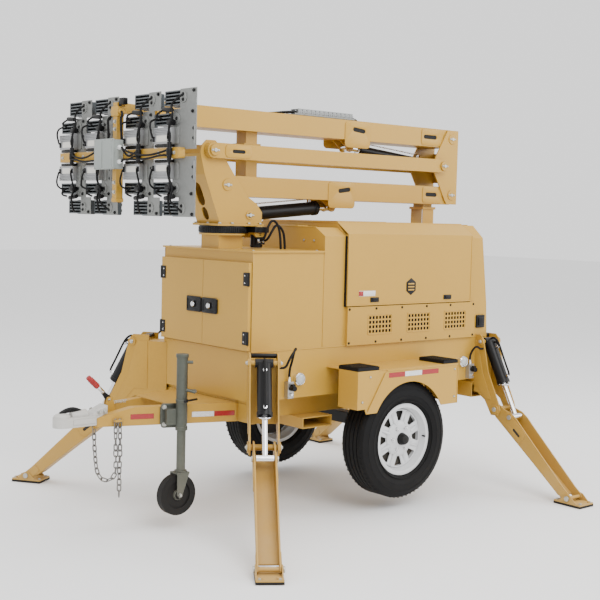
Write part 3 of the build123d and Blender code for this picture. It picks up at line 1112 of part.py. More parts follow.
def build():
    """Every node of the lighting tower, in the trailer's own station frame."""
    chassis = make_chassis()
    nodes = {
        "chassis_frame": chassis,
        "outrigger_arms": make_arms(chassis),
        "coupler_body": make_coupler(),
        "coupler_latch": make_coupler_latch(),
        "brake_lever": make_brake_lever(),
        "safety_chains": Part() + [route_tube(SWAG_ROUTE, CHAIN_R), route_tube(DROP_ROUTE, CHAIN_R)],
        "jockey_tube": make_jockey_tube(),
        "jockey_leg": make_jockey_leg(),
        "jockey_fork": make_jockey_fork(),
        "jockey_wheel": make_jockey_wheel(),
        "axle_beam": make_axle(),
        "near_tyre": make_tyre(-1),
        "far_tyre": make_tyre(1),
        "near_rim": make_rim(-1),
        "far_rim": make_rim(1),
        "fenders": make_fenders(),
        "step_pads": make_step_pads(),
        "lower_body": make_lower_body(),
        "cabinet_shell": make_cabinet(),
        "near_cabinet_door": cabinet_door(-1),
        "far_cabinet_door": cabinet_door(1),
        "near_door_latch": door_latch(-1),
        "far_door_latch": door_latch(1),
        "enclosure_shell": bolted(make_enclosure() + make_grilles(), make_boom_rest()),
        "near_gull_door": gull_door(-1),
        "far_gull_door": gull_door(1),
        "generator_set": make_generator(),
        "hydraulic_manifolds": make_manifolds(),
        "hydraulic_hoses": Part() + [hose_at(corner) for corner in CORNERS],
        "slew_drive": make_slew_drive(),
        "turret_frame": make_turret(),
        "lower_boom": make_lower_boom(),
        "link_bars": make_links(),
        "elbow_frame": make_elbow(),
        "upper_boom": make_upper_boom(),
        "lower_ram_barrel": ram_barrel(LOW_RAM_BASE, LOW_RAM_LUG, LOW_RAM_R, 20, LOW_BARREL, 44),
        "lower_ram_rod": ram_rod(LOW_RAM_BASE, LOW_RAM_LUG, LOW_RAM_R, 20, LOW_BARREL, 60, 27),
        "upper_ram_barrel": ram_barrel(HIGH_RAM_BASE, HIGH_RAM_LUG, HIGH_RAM_R, 16, HIGH_BARREL, 40),
        "upper_ram_rod": ram_rod(HIGH_RAM_BASE, HIGH_RAM_LUG, HIGH_RAM_R, 16, HIGH_BARREL, 60, 23),
        "energy_chain": make_energy_chain(),
        "head_frame": make_head_frame(),
        "lamp_brackets": make_brackets(),
        "lamp_modules": make_lamps(),
        "driver_boxes": make_drivers(),
    }
    for corner in CORNERS:
        nodes[corner + "_leg"] = place_leg(leg(), corner)
        nodes[corner + "_foot"] = place_leg(foot(), corner)
        nodes[corner + "_ram_barrel"] = place_leg(leg_barrel(), corner)
        nodes[corner + "_ram_rod"] = place_leg(leg_rod(), corner)
    return nodes


if __name__ == "__main__":
    for name, piece in build().items():
        moved = Pos(SHIFT_X, 0, 0) * piece
        export_step(moved, f"parts/{name}.step")
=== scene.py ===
"""Mobile lighting tower trailer: finishes, wheels, lamp head, fittings and safety chains.

Sizes are in the trailer's station line, in millimetres, +X to the rear, +Y to the far side and +Z
up. Every mesh is stored in the frame's metres, with its object at the origin.
"""
import logging
import math
import random
from dataclasses import dataclass, field
from enum import Enum
from typing import Iterable, Sequence

import bmesh
import bpy
from mathutils import Euler, Matrix, Vector


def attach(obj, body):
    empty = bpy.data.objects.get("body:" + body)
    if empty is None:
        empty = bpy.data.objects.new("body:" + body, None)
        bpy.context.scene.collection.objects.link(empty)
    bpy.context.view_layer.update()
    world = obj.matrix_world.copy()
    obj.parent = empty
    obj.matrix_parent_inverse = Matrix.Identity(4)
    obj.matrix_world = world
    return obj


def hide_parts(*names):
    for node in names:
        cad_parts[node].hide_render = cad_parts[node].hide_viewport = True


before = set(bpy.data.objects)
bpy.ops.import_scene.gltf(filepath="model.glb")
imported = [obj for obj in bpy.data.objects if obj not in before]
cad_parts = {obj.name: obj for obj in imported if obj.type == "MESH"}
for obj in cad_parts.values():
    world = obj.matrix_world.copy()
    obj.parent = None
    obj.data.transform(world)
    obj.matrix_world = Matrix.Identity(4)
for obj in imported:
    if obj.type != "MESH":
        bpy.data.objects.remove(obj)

MM = 0.001
STATION_SHIFT = 193.25          # the frame's origin lies this far ahead of the station line's
SMOOTH_ANGLE = math.radians(32)

Range = tuple[float, float]
Point = Sequence[float]

logging.basicConfig(level=logging.INFO, format="%(name)s: %(message)s")
log = logging.getLogger("tower")


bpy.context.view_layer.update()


def station(point: Point) -> Vector:
    """A station point in millimetres as a point of the frame in metres."""
    return Vector(((point[0] + STATION_SHIFT) * MM, point[1] * MM, point[2] * MM))


STATION = Matrix.Translation((STATION_SHIFT * MM, 0, 0)) @ Matrix.Diagonal((MM, MM, MM, 1))


# ---- named options -------------------------------------------------------------------------

class Side(Enum):
    """The two long sides of the trailer, by the sign of Y."""

    NEAR = -1
    FAR = 1

    @property
    def word(self) -> str:
        """The side's name as the bodies and nodes spell it."""
        return self.name.lower()


class Corner(Enum):
    """The four outriggers: root X, root Y and heading in degrees."""

    FRONT_NEAR = (-741.7, -582.1, -125.0)
    FRONT_FAR = (-741.7, 582.1, 125.0)
    REAR_NEAR = (1205.0, -424.0, -90.0)
    REAR_FAR = (1205.0, 424.0, 90.0)

    @property
    def word(self) -> str:
        """The corner's name as the bodies and nodes spell it."""
        return self.name.lower()

    @property
    def place(self) -> Matrix:
        """Takes the outrigger's own plane, in millimetres, to the frame in metres."""
        x, y, heading = self.value
        return STATION @ Matrix.Translation((x, y, 0)) @ Matrix.Rotation(math.radians(heading), 4, "Z")


class Facing(Enum):
    """The way a round fitting or a bolt head points, as a turn of the +Z axis."""

    UP = (0.0, 0.0, 0.0)
    DOWN = (math.pi, 0.0, 0.0)
    FRONT = (0.0, -math.pi / 2, 0.0)
    BACK = (0.0, math.pi / 2, 0.0)
    NEAR = (math.pi / 2, 0.0, 0.0)
    FAR = (-math.pi / 2, 0.0, 0.0)

    @property
    def matrix(self) -> Matrix:
        """The turn as a matrix."""
        return Euler(self.value).to_matrix().to_4x4()


# ---- finishes ------------------------------------------------------------------------------

@dataclass(frozen=True)
class Finish:
    """One surface finish and the amounts of wear, dust and grain that it shows."""

    name: str
    slot: str
    color: tuple[float, float, float]
    roughness: float = 0.5
    metallic: float = 0.0
    edge_color: tuple[float, float, float] = (0.5, 0.5, 0.5)
    wear: float = 0.3
    dust: float = 0.25
    grain: float = 0.25
    grain_scale: float = 700.0
    mottle: float = 0.06
    coat: float = 0.0
    specular: float = 0.3
    striped: bool = False

    def material(self) -> bpy.types.Material:
        """Makes the finish's material once and returns it.

        Returns:
            The material that carries this finish.
        """
        made = bpy.data.materials.get(self.name)
        if made is not None:
            return made
        made = bpy.data.materials.new(self.name)
        made.use_nodes = True
        nodes, links = made.node_tree.nodes, made.node_tree.links
        shader = nodes["Principled BSDF"]
        worn = nodes.new("ShaderNodeGroup")
        worn.node_tree = worn_surface()
        worn.inputs["Color"].default_value = (*self.color, 1)
        worn.inputs["Edge Color"].default_value = (*self.edge_color, 1)
        worn.inputs["Wear"].default_value = self.wear
        worn.inputs["Dust"].default_value = self.dust
        worn.inputs["Mottle"].default_value = self.mottle
        worn.inputs["Grain Scale"].default_value = self.grain_scale
        worn.inputs["Grain Depth"].default_value = self.grain
        worn.inputs["Roughness"].default_value = self.roughness
        if self.striped:
            cells = nodes.new("ShaderNodeGroup")
            cells.node_tree = reflector_cells()
            cells.inputs["Color"].default_value = (*self.color, 1)
            links.new(cells.outputs["Color"], worn.inputs["Color"])
        links.new(worn.outputs["Color"], shader.inputs["Base Color"])
        links.new(worn.outputs["Roughness"], shader.inputs["Roughness"])
        links.new(worn.outputs["Normal"], shader.inputs["Normal"])
        shader.inputs["Metallic"].default_value = self.metallic
        shader.inputs["Coat Weight"].default_value = self.coat
        shader.inputs["Coat Roughness"].default_value = 0.12
        shader.inputs["Specular IOR Level"].default_value = self.specular
        return made


class Coats:
    """The trailer's finishes by name."""

    SAND = Finish("sand_powder_coat", "sand_paint", (0.47, 0.268, 0.036), 0.42,
                  edge_color=(0.62, 0.43, 0.20), wear=0.35, dust=0.14, mottle=0.05, coat=0.10)
    SAND_FRAME = Finish("sand_frame_paint", "sand_paint_frame", (0.45, 0.255, 0.035), 0.46,
                        edge_color=(0.42, 0.31, 0.18), wear=0.5, dust=0.3, mottle=0.09, grain=0.4)
    BLACK = Finish("black_enamel", "black_paint", (0.007, 0.007, 0.0075), 0.34,
                   edge_color=(0.11, 0.11, 0.11), wear=0.35, dust=0.05, specular=0.2)
    CHROME = Finish("hard_chrome", "chrome_rod", (0.78, 0.78, 0.79), 0.12, 1.0,
                    edge_color=(0.9, 0.9, 0.9), wear=0.1, dust=0.08, grain=0.05, mottle=0.03)
    ZINC = Finish("zinc_plate", "zinc_steel", (0.50, 0.50, 0.46), 0.42, 0.85,
                  edge_color=(0.72, 0.72, 0.70), wear=0.4, dust=0.3, mottle=0.22, grain_scale=260)
    JACK = Finish("galvanised_jack", "zinc_steel", (0.085, 0.092, 0.076), 0.5, 0.5,
                  edge_color=(0.6, 0.6, 0.56), wear=0.4, dust=0.3, mottle=0.28, grain_scale=200)
    CHAIN = Finish("dark_chain_steel", "zinc_steel", (0.17, 0.165, 0.16), 0.42, 0.9,
                   edge_color=(0.5, 0.5, 0.48), wear=0.4, dust=0.25, mottle=0.2)
    CAST_WHITE = Finish("white_coupler_paint", "white_steel", (0.52, 0.51, 0.48), 0.38,
                        edge_color=(0.42, 0.38, 0.33), wear=0.5, dust=0.35, mottle=0.1, grain=0.5,
                        grain_scale=350)
    WHITE = Finish("white_wheel_paint", "white_steel", (0.60, 0.61, 0.62), 0.28,
                   edge_color=(0.9, 0.9, 0.9), wear=0.15, dust=0.22, coat=0.3, mottle=0.03)
    TYRE = Finish("tyre_rubber_black", "tyre_rubber", (0.0065, 0.0065, 0.007), 0.62,
                  edge_color=(0.03, 0.03, 0.03), wear=0.25, dust=0.02, grain=0.5, grain_scale=420,
                  specular=0.12)
    RUBBER = Finish("moulded_rubber", "black_rubber", (0.007, 0.007, 0.0075), 0.58,
                    edge_color=(0.04, 0.04, 0.04), wear=0.25, dust=0.05, grain=0.3, specular=0.15)
    SILVER = Finish("extruded_driver_case", "silver_case", (0.36, 0.365, 0.37), 0.36, 0.5,
                    edge_color=(0.9, 0.9, 0.9), wear=0.3, dust=0.1, grain=0.2, grain_scale=500)
    MANIFOLD = Finish("milled_valve_block", "silver_case", (0.42, 0.42, 0.41), 0.38, 0.7,
                      edge_color=(0.7, 0.7, 0.7), wear=0.35, dust=0.2)
    LAMP = Finish("dark_heat_sink", "lamp_black", (0.040, 0.046, 0.050), 0.42, 0.5,
                  edge_color=(0.34, 0.36, 0.37), wear=0.55, dust=0.12, grain=0.3)
    # Fins of the same heat sink painted lighter than its dark case: a painted highlight on the fin faces and
    # their light edges.
    FIN = Finish("heat_sink_fin_edges", "lamp_black", (0.115, 0.125, 0.13), 0.38, 0.5,
                 edge_color=(0.42, 0.44, 0.45), wear=0.6, dust=0.1, grain=0.2)
    BRACKET = Finish("light_grey_bracket", "bracket_grey", (0.22, 0.225, 0.215), 0.46, 0.3,
                     edge_color=(0.70, 0.70, 0.68), wear=0.4, dust=0.18, mottle=0.18)
    JUNCTION = Finish("grey_white_junction_box", "grey_plastic", (0.28, 0.305, 0.29), 0.42,
                      edge_color=(0.7, 0.72, 0.7), wear=0.2, dust=0.12)
    CARRIER = Finish("grey_cable_carrier", "grey_plastic", (0.27, 0.28, 0.28), 0.52,
                     edge_color=(0.5, 0.5, 0.5), wear=0.3, dust=0.3)
    GLAND = Finish("white_cable_gland", "white_steel", (0.78, 0.79, 0.78), 0.36,
                   edge_color=(0.9, 0.9, 0.9), wear=0.1, dust=0.1)
    RED = Finish("red_grip_plastic", "red_grip", (0.30, 0.012, 0.012), 0.38,
                 edge_color=(0.55, 0.15, 0.13), wear=0.3, dust=0.15, coat=0.2)
    RED_REFLECTOR = Finish("red_reflective_tape", "red_grip", (0.30, 0.007, 0.008), 0.26,
                           edge_color=(0.6, 0.2, 0.2), wear=0.1, dust=0.15, coat=0.5, striped=True)
    SILVER_REFLECTOR = Finish("silver_reflective_tape", "white_steel", (0.70, 0.71, 0.72), 0.22, 0.2,
                              edge_color=(0.8, 0.8, 0.8), wear=0.1, dust=0.15, coat=0.5,
                              striped=True)
    LENS = Finish("frosted_lamp_lens", "white_steel", (0.46, 0.48, 0.47), 0.12,
                  edge_color=(0.9, 0.9, 0.9), wear=0.05, dust=0.05, coat=0.6, grain=0.05)
    PLATE_PALE = Finish("pale_sign_plate", "white_steel", (0.70, 0.68, 0.62), 0.42,
                        edge_color=(0.6, 0.6, 0.6), wear=0.2, dust=0.1)
    ENGINE = Finish("cast_engine_paint", "engine_cast", (0.10, 0.105, 0.11), 0.55, 0.2,
                    edge_color=(0.3, 0.3, 0.3), wear=0.4, dust=0.4, grain=0.6, grain_scale=180)
    # Matte near-black for the grille backing and brake drums, and also painted shade: dark sheets laid in the
    # boom and leg slots.
    DARK_INSIDE = Finish("dark_grille_mesh", "black_paint", (0.012, 0.012, 0.012), 0.8,
                         edge_color=(0.05, 0.05, 0.05), wear=0.2, dust=0.3)


def group_tree(name: str, sockets: Iterable[tuple[str, str, str]]) -> bpy.types.NodeTree:
    """Makes an empty shader node group.

    Args:
        name: The group's name.
        sockets: Name, direction and socket type of each socket.

    Returns:
        The group, with its sockets and no nodes.
    """
    tree = bpy.data.node_groups.new(name, "ShaderNodeTree")
    for socket, direction, kind in sockets:
        tree.interface.new_socket(name=socket, in_out=direction, socket_type=kind)
    return tree


def math_node(tree: bpy.types.NodeTree, operation: str, first: object, second: object,
              clamp: bool = False) -> bpy.types.NodeSocket:
    """Adds a Math node.

    Args:
        tree: The tree to add to.
        operation: The node's operation.
        first: A socket or a number.
        second: A socket or a number.
        clamp: True to keep the result from 0 to 1.

    Returns:
        The node's output socket.
    """
    node = tree.nodes.new("ShaderNodeMath")
    node.operation, node.use_clamp = operation, clamp
    for socket, value in zip(node.inputs, (first, second)):
        if isinstance(value, bpy.types.NodeSocket):
            tree.links.new(value, socket)
        else:
            socket.default_value = value
    return node.outputs[0]


def mix_node(tree: bpy.types.NodeTree, share: bpy.types.NodeSocket, first: object,
             second: object) -> bpy.types.NodeSocket:
    """Adds a colour Mix node.

    Args:
        tree: The tree to add to.
        share: The socket that holds the second colour's share.
        first: A colour socket or a colour.
        second: A colour socket or a colour.

    Returns:
        The node's colour output.
    """
    node = tree.nodes.new("ShaderNodeMix")
    node.data_type = "RGBA"
    tree.links.new(share, node.inputs[0])
    for socket, value in ((node.inputs[6], first), (node.inputs[7], second)):
        if isinstance(value, bpy.types.NodeSocket):
            tree.links.new(value, socket)
        else:
            socket.default_value = value
    return node.outputs[2]


def worn_surface() -> bpy.types.NodeTree:
    """The shared group for paint, metal, plastic and rubber: rounded and worn edges, uneven
    colour, dust near the ground and on level faces, and fine grain.

    Returns:
        The shader node group.
    """
    made = bpy.data.node_groups.get("worn_surface")
    if made is not None:
        return made
    tree = group_tree("worn_surface", (
        ("Color", "INPUT", "NodeSocketColor"), ("Edge Color", "INPUT", "NodeSocketColor"),
        ("Wear", "INPUT", "NodeSocketFloat"), ("Dust", "INPUT", "NodeSocketFloat"),
        ("Mottle", "INPUT", "NodeSocketFloat"), ("Grain Scale", "INPUT", "NodeSocketFloat"),
        ("Grain Depth", "INPUT", "NodeSocketFloat"), ("Roughness", "INPUT", "NodeSocketFloat"),
        ("Color", "OUTPUT", "NodeSocketColor"), ("Roughness", "OUTPUT", "NodeSocketFloat"),
        ("Normal", "OUTPUT", "NodeSocketVector")))
    nodes, links = tree.nodes, tree.links
    given, result = nodes.new("NodeGroupInput"), nodes.new("NodeGroupOutput")
    place = nodes.new("ShaderNodeTexCoord").outputs["Object"]

    def cloud(scale: object, detail: float) -> bpy.types.NodeSocket:
        """A noise on the object's own coordinates."""
        noise = nodes.new("ShaderNodeTexNoise")
        noise.inputs["Detail"].default_value = detail
        links.new(place, noise.inputs["Vector"])
        if isinstance(scale, bpy.types.NodeSocket):
            links.new(scale, noise.inputs["Scale"])
        else:
            noise.inputs["Scale"].default_value = scale
        return noise.outputs[0]

    rounded = nodes.new("ShaderNodeBevel")
    rounded.samples = 4
    rounded.inputs["Radius"].default_value = 0.0028
    facing = nodes.new("ShaderNodeNewGeometry")
    likeness = nodes.new("ShaderNodeVectorMath")
    likeness.operation = "DOT_PRODUCT"
    links.new(rounded.outputs[0], likeness.inputs[0])
    links.new(facing.outputs["Normal"], likeness.inputs[1])
    sharpness = math_node(tree, "SUBTRACT", 1.0, likeness.outputs["Value"])
    edge = math_node(tree, "MULTIPLY", sharpness, 9.0, clamp=True)
    patches = math_node(tree, "MULTIPLY", math_node(tree, "SUBTRACT", cloud(38.0, 5.0), 0.38), 3.2,
                        clamp=True)
    worn = math_node(tree, "MULTIPLY", math_node(tree, "MULTIPLY", edge, patches), given.outputs["Wear"])

    drift = math_node(tree, "MULTIPLY", math_node(tree, "SUBTRACT", cloud(3.5, 4.0), 0.5),
                      given.outputs["Mottle"])
    fine = math_node(tree, "MULTIPLY", math_node(tree, "SUBTRACT", cloud(60.0, 3.0), 0.5),
                     math_node(tree, "MULTIPLY", given.outputs["Mottle"], 0.6))
    level = math_node(tree, "ADD", 1.0, math_node(tree, "MULTIPLY", math_node(tree, "ADD", drift, fine), 2.0))
    shade = nodes.new("ShaderNodeVectorMath")
    shade.operation = "SCALE"
    links.new(given.outputs["Color"], shade.inputs[0])
    links.new(level, shade.inputs["Scale"])

    apart = nodes.new("ShaderNodeSeparateXYZ")
    links.new(place, apart.inputs[0])
    upward = nodes.new("ShaderNodeSeparateXYZ")
    links.new(facing.outputs["Normal"], upward.inputs[0])
    low = math_node(tree, "SUBTRACT", 1.0, math_node(tree, "MULTIPLY", apart.outputs["Z"], 1.5), clamp=True)
    flat = math_node(tree, "MULTIPLY", upward.outputs["Z"], 0.35, clamp=True)
    settled = math_node(tree, "MULTIPLY", math_node(tree, "ADD", low, flat), given.outputs["Dust"])
    dusty = math_node(tree, "MULTIPLY", settled, cloud(9.0, 6.0), clamp=True)

    color = mix_node(tree, worn, shade.outputs[0], given.outputs["Edge Color"])
    color = mix_node(tree, dusty, color, (0.40, 0.34, 0.26, 1))
    links.new(color, result.inputs["Color"])
    rough = math_node(tree, "ADD", given.outputs["Roughness"], math_node(tree, "MULTIPLY", drift, 0.8))
    rough = math_node(tree, "ADD", rough, math_node(tree, "MULTIPLY", dusty, 0.35), clamp=True)
    links.new(rough, result.inputs["Roughness"])
    bump = nodes.new("ShaderNodeBump")
    bump.inputs["Distance"].default_value = 0.0004
    links.new(given.outputs["Grain Depth"], bump.inputs["Strength"])
    links.new(cloud(given.outputs["Grain Scale"], 2.0), bump.inputs["Height"])
    links.new(rounded.outputs[0], bump.inputs["Normal"])
    links.new(bump.outputs[0], result.inputs["Normal"])
    return tree


def reflector_cells() -> bpy.types.NodeTree:
    """The shared group for reflective tape: small prism cells.

    Returns:
        The shader node group.
    """
    made = bpy.data.node_groups.get("reflector_cells")
    if made is not None:
        return made
    tree = group_tree("reflector_cells", (("Color", "INPUT", "NodeSocketColor"),
                                          ("Color", "OUTPUT", "NodeSocketColor")))
    nodes, links = tree.nodes, tree.links
    given, result = nodes.new("NodeGroupInput"), nodes.new("NodeGroupOutput")
    cells = nodes.new("ShaderNodeTexVoronoi")
    cells.inputs["Scale"].default_value = 220.0
    links.new(nodes.new("ShaderNodeTexCoord").outputs["Object"], cells.inputs["Vector"])
    level = math_node(tree, "ADD", math_node(tree, "MULTIPLY", cells.outputs["Distance"], 0.5), 0.75)
    shade = nodes.new("ShaderNodeVectorMath")
    shade.operation = "SCALE"
    links.new(given.outputs["Color"], shade.inputs[0])
    links.new(level, shade.inputs["Scale"])
    links.new(shade.outputs[0], result.inputs["Color"])
    return tree


# ---- building pieces -----------------------------------------------------------------------

def plain_mesh(obj: bpy.types.Object) -> bpy.types.Mesh:
    """The evaluated object as a plain mesh."""
    graph = bpy.context.evaluated_depsgraph_get()
    return bpy.data.meshes.new_from_object(obj.evaluated_get(graph))


def link(obj: bpy.types.Object) -> bpy.types.Object:
    """Puts an object in the scene and returns it."""
    bpy.context.scene.collection.objects.link(obj)
    return obj


def smooth(mesh: bpy.types.Mesh) -> None:
    """Shades a mesh smooth, with sharp edges kept sharp."""
    mesh.polygons.foreach_set("use_smooth", [True] * len(mesh.polygons))
    mesh.set_sharp_from_angle(angle=SMOOTH_ANGLE)


@dataclass
class Piece:
    """One mesh in the making, which rides on a body when it is done.

    Its shapes are given in millimetres, in the space that `base` takes to the frame.
    """

    name: str
    body: str
    finish: Finish
    base: Matrix = field(default_factory=lambda: STATION.copy())

    def __post_init__(self) -> None:
        """Starts an empty mesh."""
        self.mesh = bmesh.new()

    def take(self, part: bmesh.types.BMesh, bevel: float = 0.0) -> None:
        """Adds a shape made in the piece's own space.

        Args:
            part: The shape, which is used up.
            bevel: Width of the rounding of its edges.
        """
        if bevel:
            sharp = [e for e in part.edges if len(e.link_faces) == 2 and e.calc_face_angle(0) > 0.6]
            bmesh.ops.bevel(part, geom=sharp, offset=bevel, segments=2, profile=0.6,
                            affect="EDGES", clamp_overlap=True)
        part.transform(self.base)
        bmesh.ops.recalc_face_normals(part, faces=part.faces)
        scrap = bpy.data.meshes.new("scrap")
        part.to_mesh(scrap)
        part.free()
        self.mesh.from_mesh(scrap)
        bpy.data.meshes.remove(scrap)

    def box(self, x: Range, y: Range, z: Range, bevel: float = 0.0,
            turn: Matrix | None = None) -> "Piece":
        """Adds a box.

        Args:
            x: Range along X.
            y: Range along Y.
            z: Range along Z.
            bevel: Width of the rounding of its edges.
            turn: A turn about the box's middle.

        Returns:
            The piece itself.
        """
        part = bmesh.new()
        middle = Vector(((x[0] + x[1]) / 2, (y[0] + y[1]) / 2, (z[0] + z[1]) / 2))
        size = (abs(x[1] - x[0]), abs(y[1] - y[0]), abs(z[1] - z[0]), 1)
        bmesh.ops.create_cube(part, size=1.0, matrix=Matrix.Diagonal(size))
        if bevel:
            bmesh.ops.bevel(part, geom=part.edges[:], offset=bevel, segments=2, profile=0.6,
                            affect="EDGES", clamp_overlap=True)
        part.transform(Matrix.Translation(middle) @ (turn or Matrix.Identity(4)))
        self.take(part)
        return self

    def bar(self, start: Point, end: Point, radius: float, sides: int = 20, bevel: float = 0.0,
            end_radius: float | None = None) -> "Piece":
        """Adds a round bar or a cone.

        Args:
            start: Centre of its first end.
            end: Centre of its last end.
            radius: Radius at the first end.
            sides: Number of facets.
            bevel: Width of the rounding of its rims.
            end_radius: Radius at the last end, where it differs.

        Returns:
            The piece itself.
        """
        part = bmesh.new()
        start, end = Vector(start), Vector(end)
        run = end - start
        bmesh.ops.create_cone(part, cap_ends=True, segments=sides, radius1=radius,
                              radius2=radius if end_radius is None else end_radius,
                              depth=run.length)
        if bevel:
            rims = [e for e in part.edges if any(len(f.verts) > 4 for f in e.link_faces)]
            bmesh.ops.bevel(part, geom=rims, offset=bevel, segments=2, profile=0.6,
                            affect="EDGES", clamp_overlap=True)
        turn = run.to_track_quat("Z", "Y").to_matrix().to_4x4()
        part.transform(Matrix.Translation((start + end) / 2) @ turn)
        self.take(part)
        return self

    def turned(self, profile: Sequence[Range], centre: Point, facing: Facing,
               sides: int = 48) -> "Piece":
        """Adds a turned shape.

        Args:
            profile: Closed outline of radius and height along the axis.
            centre: Where height 0 lies on the axis.
            facing: The way the axis points.
            sides: Number of steps round the axis.

        Returns:
            The piece itself.
        """
        part = bmesh.new()
        rings = [[part.verts.new((r * math.cos(math.tau * i / sides), r * math.sin(math.tau * i / sides), h))
                  for r, h in profile] for i in range(sides)]
        count = len(profile)
        for i in range(sides):
            here, there = rings[i], rings[(i + 1) % sides]
            for j in range(count):
                k = (j + 1) % count
                part.faces.new((here[j], there[j], there[k], here[k]))
        bmesh.ops.remove_doubles(part, verts=part.verts, dist=1e-4)
        bmesh.ops.dissolve_degenerate(part, dist=1e-5, edges=part.edges)
        part.transform(Matrix.Translation(Vector(centre)) @ facing.matrix)
        self.take(part)
        return self

    def plate(self, outlines: Sequence[Sequence[Range]], thickness: float, place: Matrix,
              bevel: float = 0.0) -> "Piece":
        """Adds a flat plate with holes.

        Args:
            outlines: The outer outline and then each hole, as points of the plate's plane.
            thickness: The plate's thickness, centred on its plane.
            place: Takes the plate's plane to the piece's space.
            bevel: Width of the rounding of its edges.

        Returns:
            The piece itself.
        """
        curve = bpy.data.curves.new("cut_plate", "CURVE")
        curve.dimensions, curve.fill_mode = "2D", "BOTH"
        curve.extrude = thickness / 2 - bevel
        curve.bevel_depth, curve.bevel_resolution = bevel, 1
        curve.offset = -bevel
        for outline in outlines:
            spline = curve.splines.new("POLY")
            spline.points.add(len(outline) - 1)
            for point, (u, v) in zip(spline.points, outline):
                point.co = (u, v, 0, 1)
            spline.use_cyclic_u = True
        self.take_curve(curve, place)
        return self

    def tube(self, route: Sequence[Point], radius: float, sides: int = 2,
             curved: bool = True) -> "Piece":
        """Adds a lead, hose or bent rod along a route.

        Args:
            route: Points that the middle line follows.
            radius: Its radius.
            sides: Smoothness of the round section.
            curved: False for straight runs between the points.

        Returns:
            The piece itself.
        """
        curve = bpy.data.curves.new("lead", "CURVE")
        curve.dimensions, curve.use_fill_caps = "3D", True
        curve.bevel_depth, curve.bevel_resolution = radius, sides
        spline = curve.splines.new("NURBS" if curved else "POLY")
        spline.points.add(len(route) - 1)
        for point, place in zip(spline.points, route):
            point.co = (*place, 1)
        if curved:
            spline.order_u, spline.use_endpoint_u, spline.resolution_u = 3, True, 6
        self.take_curve(curve, Matrix.Identity(4))
        return self

    def take_curve(self, curve: bpy.types.Curve, place: Matrix) -> None:
        """Adds a curve's surface as a mesh.

        Args:
            curve: The curve, which is used up.
            place: Takes the curve's space to the piece's.
        """
        holder = link(bpy.data.objects.new("scrap", curve))
        mesh = plain_mesh(holder)
        part = bmesh.new()
        part.from_mesh(mesh)
        bmesh.ops.remove_doubles(part, verts=part.verts, dist=1e-3)
        part.transform(place)
        self.take(part)
        bpy.data.objects.remove(holder)
        bpy.data.curves.remove(curve)
        bpy.data.meshes.remove(mesh)

    def done(self, *replaced: str) -> bpy.types.Object:
        """Turns the piece into an object that rides on its body.

        Args:
            replaced: CAD nodes that the piece stands for.

        Returns:
            The finished object.
        """
        mesh = bpy.data.meshes.new(self.name)
        self.mesh.to_mesh(mesh)
        self.mesh.free()
        mesh.materials.append(self.finish.material())
        smooth(mesh)
        obj = link(bpy.data.objects.new(self.name, mesh))
        return ride(obj, self.body, self.finish, *replaced)


def ride(obj: bpy.types.Object, body: str, finish: Finish, *replaced: str) -> bpy.types.Object:
    """Makes a finished object ride on a body and reports it.

    Args:
        obj: The object.
        body: The body's name.
        finish: Not used.
        replaced: CAD nodes that the object stands for.

    Returns:
        The object.
    """
    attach(obj, body)
    if replaced:
        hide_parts(*replaced)
    log.info("%s rides on %s, %d faces", obj.name, body, len(obj.data.polygons))
    return obj


# ---- repeated shapes -----------------------------------------------------------------------

def node_group(name: str, sockets: Iterable[tuple[str, str]]) -> bpy.types.NodeTree:
    """Makes a Geometry Nodes tree with a geometry input and output.

    Args:
        name: The tree's name.
        sockets: Name and socket type of each further input.

    Returns:
        The tree, with its sockets and no nodes.
    """
    tree = bpy.data.node_groups.new(name, "GeometryNodeTree")
    tree.interface.new_socket(name="Geometry", in_out="INPUT", socket_type="NodeSocketGeometry")
    for socket, kind in sockets:
        tree.interface.new_socket(name=socket, in_out="INPUT", socket_type=kind)
    tree.interface.new_socket(name="Geometry", in_out="OUTPUT", socket_type="NodeSocketGeometry")
    return tree


def finish_tree(tree: bpy.types.NodeTree, given: bpy.types.Node,
                geometry: bpy.types.NodeSocket) -> None:
    """Ends a tree in Realize Instances and Set Material.

    Args:
        tree: The tree.
        given: Its group input node, with a Material socket.
        geometry: The geometry to end with.
    """
    real = tree.nodes.new("GeometryNodeRealizeInstances")
    coat = tree.nodes.new("GeometryNodeSetMaterial")
    result = tree.nodes.new("NodeGroupOutput")
    tree.links.new(geometry, real.inputs[0])
    tree.links.new(real.outputs[0], coat.inputs["Geometry"])
    tree.links.new(given.outputs["Material"], coat.inputs["Material"])
    tree.links.new(coat.outputs[0], result.inputs[0])


def spots_tree() -> bpy.types.NodeTree:
    """The tree that sets one shape on every point, turned and sized by the point's attributes."""
    made = bpy.data.node_groups.get("shape_on_spots")
    if made is not None:
        return made
    tree = node_group("shape_on_spots", (("Shape", "NodeSocketObject"),
                                         ("Material", "NodeSocketMaterial")))
    nodes, links = tree.nodes, tree.links
    given = nodes.new("NodeGroupInput")
    shape = nodes.new("GeometryNodeObjectInfo")
    shape.transform_space = "ORIGINAL"
    links.new(given.outputs["Shape"], shape.inputs["Object"])
    setter = nodes.new("GeometryNodeInstanceOnPoints")
    links.new(given.outputs["Geometry"], setter.inputs["Points"])
    links.new(shape.outputs["Geometry"], setter.inputs["Instance"])
    for attribute, socket in (("turn", "Rotation"), ("size", "Scale")):
        reader = nodes.new("GeometryNodeInputNamedAttribute")
        reader.data_type = "FLOAT_VECTOR"
        reader.inputs["Name"].default_value = attribute
        links.new(reader.outputs["Attribute"], setter.inputs[socket])
    finish_tree(tree, given, setter.outputs[0])
    return tree


